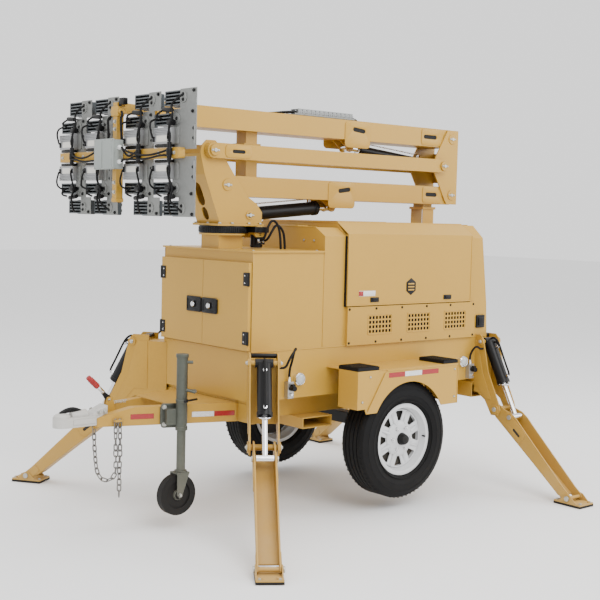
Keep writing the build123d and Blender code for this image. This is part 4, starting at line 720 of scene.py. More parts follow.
def ring_tree() -> bpy.types.NodeTree:
    """The tree that sets one shape on every step of a ring about Z."""
    made = bpy.data.node_groups.get("shape_on_ring")
    if made is not None:
        return made
    tree = node_group("shape_on_ring", (("Shape", "NodeSocketObject"), ("Count", "NodeSocketInt"),
                                        ("Radius", "NodeSocketFloat"),
                                        ("Material", "NodeSocketMaterial")))
    nodes, links = tree.nodes, tree.links
    given = nodes.new("NodeGroupInput")
    ring = nodes.new("GeometryNodeMeshCircle")
    links.new(given.outputs["Count"], ring.inputs["Vertices"])
    links.new(given.outputs["Radius"], ring.inputs["Radius"])
    shape = nodes.new("GeometryNodeObjectInfo")
    shape.transform_space = "ORIGINAL"
    links.new(given.outputs["Shape"], shape.inputs["Object"])
    number = nodes.new("GeometryNodeInputIndex").outputs[0]
    angle = math_node(tree, "DIVIDE", math_node(tree, "MULTIPLY", number, math.tau),
                      given.outputs["Count"])
    turn = nodes.new("ShaderNodeCombineXYZ")
    links.new(angle, turn.inputs["Z"])
    setter = nodes.new("GeometryNodeInstanceOnPoints")
    links.new(ring.outputs[0], setter.inputs["Points"])
    links.new(shape.outputs["Geometry"], setter.inputs["Instance"])
    links.new(turn.outputs[0], setter.inputs["Rotation"])
    finish_tree(tree, given, setter.outputs[0])
    return tree


def row_tree() -> bpy.types.NodeTree:
    """The tree that sets one shape at even steps along a straight row."""
    made = bpy.data.node_groups.get("shape_in_row")
    if made is not None:
        return made
    tree = node_group("shape_in_row", (("Shape", "NodeSocketObject"), ("Count", "NodeSocketInt"),
                                       ("Start", "NodeSocketVector"), ("Step", "NodeSocketVector"),
                                       ("Material", "NodeSocketMaterial")))
    nodes, links = tree.nodes, tree.links
    given = nodes.new("NodeGroupInput")
    row = nodes.new("GeometryNodeMeshLine")
    links.new(given.outputs["Count"], row.inputs["Count"])
    links.new(given.outputs["Start"], row.inputs["Start Location"])
    links.new(given.outputs["Step"], row.inputs["Offset"])
    shape = nodes.new("GeometryNodeObjectInfo")
    shape.transform_space = "ORIGINAL"
    links.new(given.outputs["Shape"], shape.inputs["Object"])
    setter = nodes.new("GeometryNodeInstanceOnPoints")
    links.new(row.outputs[0], setter.inputs["Points"])
    links.new(shape.outputs["Geometry"], setter.inputs["Instance"])
    finish_tree(tree, given, setter.outputs[0])
    return tree


def run_tree(name: str, tree: bpy.types.NodeTree, points: bpy.types.Mesh,
             values: dict[str, object], place: Matrix) -> bpy.types.Mesh:
    """Runs a Geometry Nodes tree once and keeps its result.

    Args:
        name: Name of the result.
        tree: The tree.
        points: The mesh that it starts from.
        values: The tree's inputs by name.
        place: Takes the result to the frame.

    Returns:
        The result as a plain mesh.
    """
    holder = link(bpy.data.objects.new(name + "_holder", points))
    modifier = holder.modifiers.new("repeat", "NODES")
    modifier.node_group = tree
    for item in tree.interface.items_tree:
        if item.item_type == "SOCKET" and item.in_out == "INPUT" and item.name in values:
            modifier[item.identifier] = values[item.name]
    mesh = plain_mesh(holder)
    mesh.name = name
    mesh.transform(place)
    if place.determinant() < 0:
        mesh.flip_normals()
    smooth(mesh)
    holder.modifiers.clear()
    bpy.data.objects.remove(holder)
    return mesh


class Shape(Enum):
    """Small shapes that are repeated, each pointing along +Z with its foot at 0, in millimetres."""

    HEX_BOLT = "hex_bolt"
    ROUND_BOLT = "round_bolt"
    NUT = "nut"
    LENS_DOME = "lens_dome"
    RIB = "rib"
    TOOTH = "tooth"
    CHAIN_LINK = "chain_link"
    CARRIER_LINK = "carrier_link"

    def source(self) -> bpy.types.Object:
        """The shape's own small object, made on first use and never shown.

        Returns:
            The object whose mesh the trees repeat.
        """
        made = bpy.data.objects.get("shape_" + self.value)
        if made is not None:
            return made
        maker = Piece("shape_" + self.value, "", Coats.ZINC, Matrix.Identity(4))
        if self is Shape.HEX_BOLT:
            maker.bar((0, 0, 0), (0, 0, 1.6), 11.5, 16).bar((0, 0, 1.6), (0, 0, 8), 8.5, 6)
        elif self is Shape.ROUND_BOLT:
            maker.bar((0, 0, 0), (0, 0, 2.6), 7.5, 14, end_radius=7).bar(
                (0, 0, 2.6), (0, 0, 4.6), 7, 14, end_radius=3.5)
        elif self is Shape.NUT:
            maker.bar((0, 0, 0), (0, 0, 2), 13, 16).bar((0, 0, 2), (0, 0, 13), 10.5, 6)
            maker.bar((0, 0, 13), (0, 0, 19), 6, 12, end_radius=5)
        elif self is Shape.LENS_DOME:
            maker.bar((0, 0, 0), (0, 0, 2.5), 12, 14, end_radius=11)
            maker.bar((0, 0, 2.5), (0, 0, 6), 11, 14, end_radius=5)
        elif self is Shape.RIB:
            maker.box((-0.5, 0.5), (-0.5, 0.5), (0, 1), 0.12)
        elif self is Shape.TOOTH:
            maker.box((-0.5, 4.5), (-3.4, 3.4), (-15, 15), 0.8)
        elif self is Shape.CHAIN_LINK:
            maker.tube(link_loop(), 3.3, 1)
        elif self is Shape.CARRIER_LINK:
            maker.box((-14, 14), (-35, -29), (0, 36), 2.0).box((-14, 14), (29, 35), (0, 36), 2.0)
            maker.box((-10, 10), (-30, 30), (32, 35), 1.0).box((-10, 10), (-30, 30), (1, 4), 1.0)
            maker.bar((8, -36.5, 18), (8, 36.5, 18), 9, 14)
        mesh = bpy.data.meshes.new("shape_" + self.value)
        maker.mesh.to_mesh(mesh)
        maker.mesh.free()
        return bpy.data.objects.new("shape_" + self.value, mesh)


def link_loop() -> list[tuple[float, float, float]]:
    """Middle line of one oval chain link, long along Z, closed on itself."""
    half, wide = 19.0, 10.5
    loop = [(wide * math.cos(t), 0.0, math.copysign(half - wide, math.sin(t)) + wide * math.sin(t))
            for t in (math.tau * (i + 0.5) / 14 for i in range(14))]
    return loop + loop[:2]


def on_spots(name: str, body: str, shape: Shape, finish: Finish, spots: Sequence[Matrix],
             *replaced: str) -> bpy.types.Object:
    """Sets one shape on many spots as one piece.

    Args:
        name: Name of the piece.
        body: The body that it rides on.
        shape: The repeated shape.
        finish: Its finish.
        spots: Where each copy goes, in the frame.
        replaced: CAD nodes that the piece stands for.

    Returns:
        The finished object.
    """
    points = bpy.data.meshes.new(name + "_spots")
    parts = [spot.decompose() for spot in spots]
    points.from_pydata([tuple(place) for place, _, _ in parts], [], [])
    for attribute, rows in (("turn", [tuple(turn.to_euler()) for _, turn, _ in parts]),
                            ("size", [tuple(size) for _, _, size in parts])):
        layer = points.attributes.new(attribute, "FLOAT_VECTOR", "POINT")
        layer.data.foreach_set("vector", [value for row in rows for value in row])
    mesh = run_tree(name, spots_tree(), points,
                    {"Shape": shape.source(), "Material": finish.material()}, Matrix.Identity(4))
    return ride(link(bpy.data.objects.new(name, mesh)), body, finish, *replaced)


def on_ring(name: str, body: str, shape: Shape, finish: Finish, count: int, radius: float,
            place: Matrix) -> bpy.types.Object:
    """Sets one shape round a ring as one piece.

    Args:
        name: Name of the piece.
        body: The body that it rides on.
        shape: The repeated shape.
        finish: Its finish.
        count: Number of copies.
        radius: Radius of the ring, in millimetres.
        place: Takes the ring about Z to the frame.

    Returns:
        The finished object.
    """
    start = bpy.data.meshes.new(name + "_start")
    mesh = run_tree(name, ring_tree(), start, {"Shape": shape.source(), "Count": count,
                                               "Radius": radius, "Material": finish.material()}, place)
    return ride(link(bpy.data.objects.new(name, mesh)), body, finish)


def in_row(name: str, body: str, shape: Shape, finish: Finish, count: int, start: Point, step: Point,
           place: Matrix, *replaced: str) -> bpy.types.Object:
    """Sets one shape at even steps along a row as one piece.

    Args:
        name: Name of the piece.
        body: The body that it rides on.
        shape: The repeated shape.
        finish: Its finish.
        count: Number of copies.
        start: Place of the first copy.
        step: From each copy to the next.
        place: Takes the row's space to the frame.
        replaced: CAD nodes that the piece stands for.

    Returns:
        The finished object.
    """
    blank = bpy.data.meshes.new(name + "_start")
    mesh = run_tree(name, row_tree(), blank, {"Shape": shape.source(), "Count": count,
                                              "Start": tuple(start), "Step": tuple(step),
                                              "Material": finish.material()}, place)
    return ride(link(bpy.data.objects.new(name, mesh)), body, finish, *replaced)


def spot(point: Point, facing: Facing, base: Matrix = STATION, scale: float = 1.0,
         spin: float = 0.0) -> Matrix:
    """Where one copy of a repeated shape goes.

    Args:
        point: Its foot, in millimetres.
        facing: The way it points.
        base: Takes the point's space to the frame.
        scale: Its size, where 1 is the shape's own.
        spin: A turn about its own axis, in degrees.

    Returns:
        The copy's matrix in the frame.
    """
    return (base @ Matrix.Translation(Vector(point)) @ facing.matrix
            @ Matrix.Rotation(math.radians(spin), 4, "Z") @ Matrix.Diagonal((scale, scale, scale, 1)))


def side_plane(y: float) -> Matrix:
    """Takes a plate's own plane to the XZ plane at a given Y, in millimetres."""
    return Matrix.Translation((0, y, 0)) @ Matrix.Rotation(math.pi / 2, 4, "X")


def front_plane(x: float) -> Matrix:
    """Takes a plate's own plane, read as Y and Z, to the YZ plane at a given X."""
    return Matrix.Translation((x, 0, 0)) @ Matrix(((0, 0, 1, 0), (1, 0, 0, 0), (0, 1, 0, 0), (0, 0, 0, 1)))


def stadium(u: float, v: float, long: float, radius: float, tilt: float = 0.0,
            steps: int = 10) -> list[Range]:
    """Outline of a slot with round ends.

    Args:
        u: Its middle's first coordinate.
        v: Its middle's second coordinate.
        long: Distance between its two end centres.
        radius: Radius of its ends.
        tilt: Its turn in degrees.
        steps: Steps in each round end.

    Returns:
        The outline's points.
    """
    half, lean = long / 2, math.radians(tilt)
    points = []
    for end, first in ((1, -math.pi / 2), (-1, math.pi / 2)):
        for i in range(steps + 1):
            angle = first + math.pi * i / steps
            a, b = end * half + radius * math.cos(angle), radius * math.sin(angle)
            points.append((u + a * math.cos(lean) - b * math.sin(lean),
                           v + a * math.sin(lean) + b * math.cos(lean)))
    return points


def rounded(u: Range, v: Range, radius: float) -> list[Range]:
    """Outline of a rectangle with rounded corners.

    Args:
        u: Range of the first coordinate.
        v: Range of the second coordinate.
        radius: Radius of its corners.

    Returns:
        The outline's points.
    """
    points = []
    for cu, cv, first in ((u[1] - radius, v[1] - radius, 0), (u[0] + radius, v[1] - radius, 90),
                          (u[0] + radius, v[0] + radius, 180), (u[1] - radius, v[0] + radius, 270)):
        for i in range(5):
            angle = math.radians(first + 22.5 * i)
            points.append((cu + radius * math.cos(angle), cv + radius * math.sin(angle)))
    return points


# ---- CAD nodes that keep their shape -------------------------------------------------------

@dataclass
class CoatedNodes:
    """Gives every CAD node that stays visible its finish."""

    sand: tuple[str, ...] = ("fenders", "lower_body", "cabinet_shell", "enclosure_shell",
                             "near_cabinet_door", "far_cabinet_door", "near_gull_door",
                             "far_gull_door", "turret_frame", "lower_boom",
                             "link_bars", "elbow_frame", "upper_boom", "head_frame")
    black: tuple[str, ...] = ("coupler_latch", "brake_lever", "axle_beam", "near_door_latch",
                              "far_door_latch", "slew_drive", "lower_ram_barrel",
                              "upper_ram_barrel")
    rubber: tuple[str, ...] = ("step_pads", "jockey_wheel", "hydraulic_hoses")
    jack: tuple[str, ...] = ("jockey_tube", "jockey_leg", "jockey_fork")

    def finishes(self) -> dict[str, Finish]:
        """The finish of each kept CAD node by its name."""
        table = {"chassis_frame": Coats.SAND_FRAME, "outrigger_arms": Coats.SAND_FRAME,
                 "coupler_body": Coats.CAST_WHITE,
                 "near_tyre": Coats.TYRE, "far_tyre": Coats.TYRE, "near_rim": Coats.WHITE,
                 "far_rim": Coats.WHITE, "generator_set": Coats.ENGINE,
                 "hydraulic_manifolds": Coats.MANIFOLD, "lower_ram_rod": Coats.CHROME,
                 "upper_ram_rod": Coats.CHROME, "lamp_brackets": Coats.BRACKET}
        for names, finish in ((self.sand, Coats.SAND), (self.black, Coats.BLACK),
                              (self.rubber, Coats.RUBBER), (self.jack, Coats.JACK)):
            table.update({name: finish for name in names})
        for corner in Corner:
            table.update({corner.word + "_leg": Coats.SAND_FRAME, corner.word + "_foot": Coats.SAND_FRAME,
                          corner.word + "_ram_barrel": Coats.BLACK,
                          corner.word + "_ram_rod": Coats.CHROME})
        return table

    def build(self) -> None:
        """Puts each finish on its node."""
        for name, finish in self.finishes().items():
            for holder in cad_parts[name].material_slots:
                holder.material = finish.material()
            log.info("%s has the finish %s", name, finish.name)


# ---- safety chains -------------------------------------------------------------------------

@dataclass
class SafetyChain:
    """One hanging chain: its middle line and the links along it."""

    name: str
    route: tuple[tuple[float, float, float], ...]
    far_end: str
    pitch: float = 31.5
    width: float = 27.6

    def line(self) -> list[Vector]:
        """Points close together along the chain's spline, in the frame.

        Returns:
            The points in metres, from the exit to the far end.
        """
        curve = bpy.data.curves.new(self.name + "_line", "CURVE")
        curve.dimensions = "3D"
        spline = curve.splines.new("NURBS")
        spline.points.add(len(self.route) - 1)
        for point, place in zip(spline.points, self.route):
            point.co = (*station(place), 1)
        spline.order_u = 3
        spline.use_endpoint_u = True
        spline.resolution_u = 16
        holder = link(bpy.data.objects.new(self.name + "_line", curve))
        points = [v.co.copy() for v in plain_mesh(holder).vertices]
        bpy.data.objects.remove(holder)
        return points

    def links(self, points: list[Vector]) -> list[Matrix]:
        """Sets a link at every pitch along the line, each turned a quarter from the last.

        Args:
            points: The line's points.

        Returns:
            Each link's place.
        """
        runs = [0.0]
        for before, here in zip(points, points[1:]):
            runs.append(runs[-1] + (here - before).length)
        count = round(runs[-1] / (self.pitch * MM))
        spots = []
        for i in range(count):
            wanted = (i + 0.5) * runs[-1] / count
            k = next(j for j, run in enumerate(runs[1:], 1) if run >= wanted)
            share = (wanted - runs[k - 1]) / (runs[k] - runs[k - 1])
            place = points[k - 1].lerp(points[k], share)
            run = (points[k] - points[k - 1]).normalized()
            turn = run.to_track_quat("Z", "Y").to_matrix().to_4x4()
            twist = Matrix.Rotation(math.radians(90 * (i % 2) + 20), 4, "Z")
            spots.append(Matrix.Translation(place) @ turn @ twist @ Matrix.Scale(MM, 4))
        return spots

    def build(self) -> None:
        points = self.line()
        chain = on_spots(self.name, "chassis", Shape.CHAIN_LINK, Coats.CHAIN, self.links(points),
                         "safety_chains")


SWAG = SafetyChain("chain_swag", (
    (-1425, -11, 548), (-1425, -11, 496), (-1423, -13, 446), (-1420, -16, 396), (-1417, -20, 346),
    (-1410, -27, 305), (-1395, -42, 277), (-1375, -63, 270), (-1356, -83, 281), (-1344, -95, 309),
    (-1341, -98, 350), (-1342, -97, 396), (-1343, -95, 442), (-1344, -96, 488), (-1344, -95, 534),
    (-1344, -95, 588)), "object")
DROP = SafetyChain("chain_drop", (
    (-1322, -102, 588), (-1322, -102, 534), (-1321, -104, 478), (-1322, -105, 420), (-1324, -104, 362),
    (-1325, -105, 304), (-1324, -104, 246), (-1325, -104, 186)), "bare")


# ---- drawbar -------------------------------------------------------------------------------

@dataclass
class Drawbar:
    """Reflectors, coupler castings, brake lever grip and the jack's small parts."""

    front: tuple[float, float] = (-1430.0, 50.0)
    rear: tuple[float, float] = (-704.0, 300.0)
    jack: tuple[float, float] = (-1040.0, -262.0)
    tape_z: Range = (594.0, 622.0)

    def outer(self, x: float) -> float:
        """Half width over the beams at a station."""
        share = (x - self.front[0]) / (self.rear[0] - self.front[0])
        return self.front[1] + share * (self.rear[1] - self.front[1])

    def tape(self, name: str, finish: Finish, x: Range, side: Side) -> None:
        """Adds a strip of reflective tape along one beam.

        Args:
            name: Name of the piece.
            finish: Its finish.
            x: Where it starts and ends.
            side: The beam that carries it.
        """
        strip = Piece(name, "chassis", finish)
        points = [(x[0], self.outer(x[0])), (x[1], self.outer(x[1]))]
        part = bmesh.new()
        corners = []
        for z in self.tape_z:
            for px, py in points:
                for out in (0.1, 1.2):
                    corners.append(part.verts.new((px, side.value * (py + out), z)))
        bmesh.ops.convex_hull(part, input=corners)
        strip.take(part)
        strip.done()

    def tapes(self) -> None:
        """Adds the tapes of both beams: red, silver and red again."""
        for side in Side:
            self.tape(f"beam_tape_front_{side.word}", Coats.RED_REFLECTOR, (-1262, -1142), side)
            self.tape(f"beam_tape_middle_{side.word}", Coats.SILVER_REFLECTOR, (-942, -824), side)
            self.tape(f"beam_tape_rear_{side.word}", Coats.RED_REFLECTOR, (-822, -712), side)

    def coupler(self) -> None:
        """Adds the coupler's dome, side ribs, bolts and the safety pin."""
        cast = Piece("coupler_casting", "chassis", Coats.CAST_WHITE)
        cast.turned([(0, 0), (46, 0), (44, 9), (34, 17), (18, 22), (0, 23)], (-1610, 0, 621),
                    Facing.UP, 40)
        cast.bar((-1560, 0, 622), (-1470, 0, 626), 24, 28, 4, 30)
        cast.box((-1430, -1372), (-46, 46), (604, 618), 3)
        for y in (-49, 49):
            cast.box((-1570, -1440), (y - 3, y + 3), (583, 611), 2.5)
        cast.done()
        bolts = [spot((x, s * 47, 640), Facing.NEAR if s < 0 else Facing.FAR)
                 for x in (-1412, -1380) for s in (-1, 1)]
        bolts += [spot((x, 0, 644), Facing.UP) for x in (-1398,)]
        on_spots("coupler_bolts", "chassis", Shape.HEX_BOLT, Coats.ZINC, bolts)
        lever = Piece("coupler_lever_cover", "coupler_latch", Coats.BLACK)
        lever.tube([(-1500, 0, 646), (-1530, 0, 662), (-1570, 0, 664), (-1606, 0, 652), (-1622, 0, 642)],
                   9, 3)
        lever.bar((-1495, -21, 636), (-1495, 21, 636), 7, 16, 1)
        lever.done()

    def brake(self) -> None:
        """Adds the brake lever's red grip, steel rod, spring and pawl."""
        grip = Piece("brake_lever_grip", "brake_lever", Coats.RED)
        grip.bar((-1386, 24, 762), (-1446, 24, 818), 15.5, 24, 3, 14)
        for i in range(5):
            along = i / 5
            middle = Vector((-1392 - 44 * along, 24, 768 + 41 * along))
            way = Vector((-60, 0, 56)).normalized()
            grip.bar(middle, middle + way * 4, 17, 20, 1)
        grip.done()
        steel = Piece("brake_lever_rod", "brake_lever", Coats.CHROME)
        steel.bar((-1352, 24, 730), (-1392, 24, 768), 11, 20, 1.5)
        steel.done()
        spring = Piece("brake_return_spring", "chassis", Coats.ZINC)
        coil = [(-1296 + i * 1.5, 24 + 8 * math.cos(i * 0.9), 672 + 8 * math.sin(i * 0.9))
                for i in range(60)]
        spring.tube(coil, 1.7, 1)
        spring.bar((-1330, 10, 690), (-1330 + 12, 10, 690), 6, 12)
        spring.done()

    def jack_parts(self) -> None:
        """Adds the jack's crank handle, clamp plates, pull pin, spring and wheel details."""
        x, y = self.jack
        steel = Piece("jack_bands_and_pin", "chassis", Coats.JACK)
        steel.bar((x, y, 930), (x, y, 950), 34, 28, 3)
        steel.bar((x, y, 540), (x, y, 560), 33, 28, 2)
        steel.bar((x, y, 690), (x, y, 706), 33, 28, 2)
        coil = [(x + 32 + i * 0.5, y - 30 - i * 0.42 + 9 * math.cos(i * 0.9), 752 + 9 * math.sin(i * 0.9))
                for i in range(48)]
        steel.tube(coil, 1.6, 1)
        steel.done()
        knob = Piece("jack_handles", "chassis", Coats.BLACK)
        knob.bar((x - 8, y - 62, 706), (x + 70, y - 40, 706), 6, 14, 2)
        knob.bar((x - 8, y - 62, 706), (x - 30, y - 70, 706), 11, 16, 4, 8)
        knob.done()
        slope = math.atan2(self.rear[1] - self.front[1], self.rear[0] - self.front[0])
        beam = STATION @ Matrix.Translation((x, -self.outer(x), 610)) @ Matrix.Rotation(-slope, 4, "Z")
        clamp = Piece("jack_clamp_plate", "chassis", Coats.JACK, beam)
        clamp.plate([rounded((-72, 72), (-66, 66), 14)] + [stadium(u, v, 0.1, 8, 0, 6)
                    for u, v in ((-54, 46), (54, 46), (-54, -46), (54, -46))], 8,
                    side_plane(-13), 1)
        clamp.done()
        bolts = [beam @ Matrix.Translation((u, -17, v)) @ Facing.NEAR.matrix
                 for u, v in ((-54, 46), (54, 46), (-54, -46), (54, -46))]
        on_spots("jack_clamp_bolts", "chassis", Shape.NUT, Coats.ZINC, bolts)
        hub = Piece("jack_wheel_hub", "jockey_wheel", Coats.JACK)
        hub.turned([(8.6, -27), (26, -27), (30, -18), (30, 18), (26, 27), (8.6, 27)],
                   (x - 26, y, 195), Facing.FAR, 32)
        for i in range(5):
            spoke = Matrix.Rotation(math.tau * i / 5, 4, "Y")
            start, end = spoke @ Vector((28, 0, 0)), spoke @ Vector((76, 0, 0))
            hub.bar(Vector((x - 26, y, 195)) + start, Vector((x - 26, y, 195)) + end, 8, 12, 1)
        hub.done()
        nuts = [spot((x - 26, y + s * 37, 195), Facing.NEAR if s < 0 else Facing.FAR, scale=0.8)
                for s in (-1, 1)]
        on_spots("jack_wheel_nuts", "jockey_fork", Shape.NUT, Coats.ZINC, nuts)

    def eyes(self) -> None:
        """Adds the shackles that hold the safety chains under the beams."""
        ring = Piece("chain_shackles", "chassis", Coats.CHAIN)
        for x, y, z in ((-1344, -95, 590), (-1322, -102, 590), (-1425, -11, 551)):
            loop = [(x + 11 * math.cos(t), y, z + 9 * math.sin(t) + 3)
                    for t in (math.tau * i / 12 for i in range(14))]
            ring.tube(loop, 3.4, 1)
        ring.done()

    def build(self) -> None:
        """Builds every drawbar detail."""
        self.tapes()
        self.coupler()
        self.brake()
        self.jack_parts()
        self.eyes()


# ---- wheels --------------------------------------------------------------------------------

@dataclass
class RoadWheel:
    """Details of one road wheel: spoked dish, tread, hub cap, nuts and valve."""

    side: Side
    axle: tuple[float, float] = (264.0, 412.0)
    middle: float = 567.5
    nut_circle: float = 70.0
    tread_radius: float = 341.5
    tread_steps: int = 64

    @property
    def body(self) -> str:
        """The body that the wheel is."""
        return self.side.word + "_wheel"

    @property
    def place(self) -> Matrix:
        """Takes the wheel's own space, +Z outwards from the tyre's middle, to the frame."""
        x, z = self.axle
        turn = Matrix.Rotation(-self.side.value * math.pi / 2, 4, "X")
        return STATION @ Matrix.Translation((x, self.side.value * self.middle, z)) @ turn

    def dish(self) -> None:
        """Makes the white wheel: barrel, dished disc with eight long windows and a raised hub."""
        wheel = Piece(self.side.word + "_spoked_wheel", self.body, Coats.WHITE, self.place)
        wheel.turned([(208, -76), (208, -70), (194, -70), (186, -30), (172, -18), (172, 20), (186, 36),
                      (194, 70), (207, 70), (212, 74), (211, 78), (206, 80), (188, 78), (178, 44),
                      (166, 24), (166, -20), (178, -36), (188, -76)], (0, 0, 0), Facing.UP, 72)
        window = ((106, -10), (112, -13), (156, -30), (163, -24), (163, 24), (156, 30), (112, 13), (106, 10))
        holes = []
        for i in range(8):
            turn = Matrix.Rotation(math.tau * i / 8, 4, "Z")
            holes.append([tuple((turn @ Vector((u, v, 0)))[:2]) for u, v in window])
        ring = [(172 * math.cos(math.tau * i / 72), 172 * math.sin(math.tau * i / 72)) for i in range(72)]
        bore = [(60 * math.cos(math.tau * i / 36), 60 * math.sin(math.tau * i / 36)) for i in range(36)]
        wheel.plate([ring, bore] + holes, 7, Matrix.Translation((0, 0, 38)), 2)
        for i in range(8):
            turn = Matrix.Rotation(math.tau * (i + 0.5) / 8, 4, "Z")
            wheel.bar(turn @ Vector((88, 0, 46)), turn @ Vector((168, 0, 33)), 12, 12, 0, 9)
        wheel.turned([(18.2, 34), (60, 34), (96, 40), (104, 38), (104, 46), (94, 54), (78, 58), (60, 56),
                      (46, 62), (18.2, 62)], (0, 0, 0), Facing.UP, 64)
        wheel.turned([(18.2, -60), (46, -60), (46, 36), (18.2, 36)], (0, 0, 0), Facing.UP, 40)
        wheel.done(self.side.word + "_rim")
        drum = Piece(self.side.word + "_brake_drum", self.body, Coats.DARK_INSIDE, self.place)
        drum.turned([(48, 2), (150, 2), (162, 8), (162, 20), (48, 20)], (0, 0, 0), Facing.UP, 48)
        drum.done()

    def build(self) -> None:
        """Builds the wheel's details."""
        self.dish()
        side = self.side.word
        cap = Piece(side + "_hub_cap", self.body, Coats.BLACK, self.place)
        cap.turned([(0, 60), (33, 60), (37, 64), (35, 74), (30, 92), (24, 101), (12, 105), (0, 106)],
                   (0, 0, 0), Facing.UP, 40)
        cap.bar((180, 0, 58), (176, 0, 84), 4.5, 12, 1)
        cap.done()
        nuts = Matrix.Translation((0, 0, 57))
        on_ring(side + "_wheel_nuts", self.body, Shape.NUT, Coats.CHROME, 6, self.nut_circle,
                self.place @ nuts)
        tread = Matrix.Rotation(math.radians(2), 4, "Z")
        for edge in (-1, 1):
            row = self.place @ tread @ Matrix.Translation((0, 0, edge * 62)) @ Matrix.Diagonal((1, 1, 0.9, 1))
            on_ring(f"{side}_tread_blocks_{'outer' if edge > 0 else 'inner'}", self.body, Shape.TOOTH,
                    Coats.TYRE, self.tread_steps, self.tread_radius, row)
        bead = Piece(side + "_tyre_rings", self.body, Coats.TYRE, self.place)
        for radius, height in ((228, 98.5), (262, 102.2), (300, 99.5)):
            for edge in (-1, 1):
                bead.turned([(radius - 3, edge * (height - 3)), (radius + 3, edge * (height - 3)),
                             (radius + 1.5, edge * (height + 1.4)), (radius - 1.5, edge * (height + 1.4))],
                            (0, 0, 0), Facing.UP, 96)
        bead.done()


# ---- mudguards -----------------------------------------------------------------------------

@dataclass
class Mudguard:
    """Details of one mudguard: ribbed step pads, tape, lamp, box bolts and folded seams."""

    side: Side
    face: float = 690.0
    tape_x: tuple[float, ...] = (86.0, 216.0, 356.0, 497.0)
    tape_z: Range = (792.0, 820.0)
    markers: tuple[Range, ...] = ((1000.0, 800.0), (-367.0, 787.0))
    pads: tuple[tuple[Range, Range], ...] = (((-155.0, 8.0), (528.0, 690.0)),
                                             ((541.0, 666.0), (488.0, 690.0)))

    def across(self, y: Range) -> Range:
        """A range outwards from the centre line on this side."""
        return tuple(sorted((self.side.value * y[0], self.side.value * y[1])))

    def build(self) -> None:
        """Builds the mudguard's details."""
        side = self.side.word
        for number, (x, y) in enumerate(self.pads):
            middle = self.side.value * (y[0] + y[1]) / 2
            count = int((x[1] - x[0]) / 11.5)
            step = (x[1] - x[0] - 8) / count
            across = Matrix.Diagonal((6.0, y[1] - y[0] - 6, 3.4, 1))
            place = STATION @ Matrix.Translation((x[0] + 4 + step / 2, middle, 861.6)) @ across
            in_row(f"{side}_step_ribs_{'front' if number == 0 else 'rear'}", "chassis", Shape.RIB,
                   Coats.RUBBER, count, (0, 0, 0), (step / 6.0, 0, 0), place)
        for number, (finish, x) in enumerate(zip(
                (Coats.RED_REFLECTOR, Coats.SILVER_REFLECTOR, Coats.RED_REFLECTOR),
                zip(self.tape_x, self.tape_x[1:]))):
            tape = Piece(f"{side}_mudguard_tape_{number + 1}", "chassis", finish)
            tape.box(x, self.across((self.face, self.face + 1.2)), self.tape_z)
            tape.done()
        seams = Piece(side + "_mudguard_seams", "chassis", Coats.SAND)
        lean = Matrix.Rotation(math.radians(32.6), 4, "Y")
        seams.box((-10, -2), self.across((self.face - 1, self.face + 4)), (597, 838), 2, lean)
        seams.box((71, 664), self.across((self.face - 1, self.face + 3.5)), (830, 838), 1.5)
        seams.box((663, 668), self.across((self.face - 30, self.face + 3)), (601, 840), 1.5)
        seams.done()
        bolts = [spot((x, self.side.value * self.face, z), Facing.NEAR if self.side is Side.NEAR
                      else Facing.FAR) for x, z in ((-118, 668), (-60, 806), (640, 806), (640, 640))]
        on_spots(side + "_mudguard_bolts", "chassis", Shape.ROUND_BOLT, Coats.ZINC, bolts)
        lamp = Piece(side + "_marker_lamps", "chassis", Coats.CHROME)
        lens = Piece(side + "_marker_lenses", "chassis", Coats.LENS)
        facing = Facing.NEAR if self.side is Side.NEAR else Facing.FAR
        for x, z in self.markers:
            place = (x, self.side.value * 424, z)
            lamp.turned([(0, 0), (36, 0), (36, 20), (31, 26), (28, 22), (0, 18)], place, facing, 40)
            lens.turned([(0, 17), (29, 17), (26, 26), (14, 31), (0, 33)], place, facing, 32)
        lamp.done()
        lens.done()


# ---- cabinet and housing -------------------------------------------------------------------

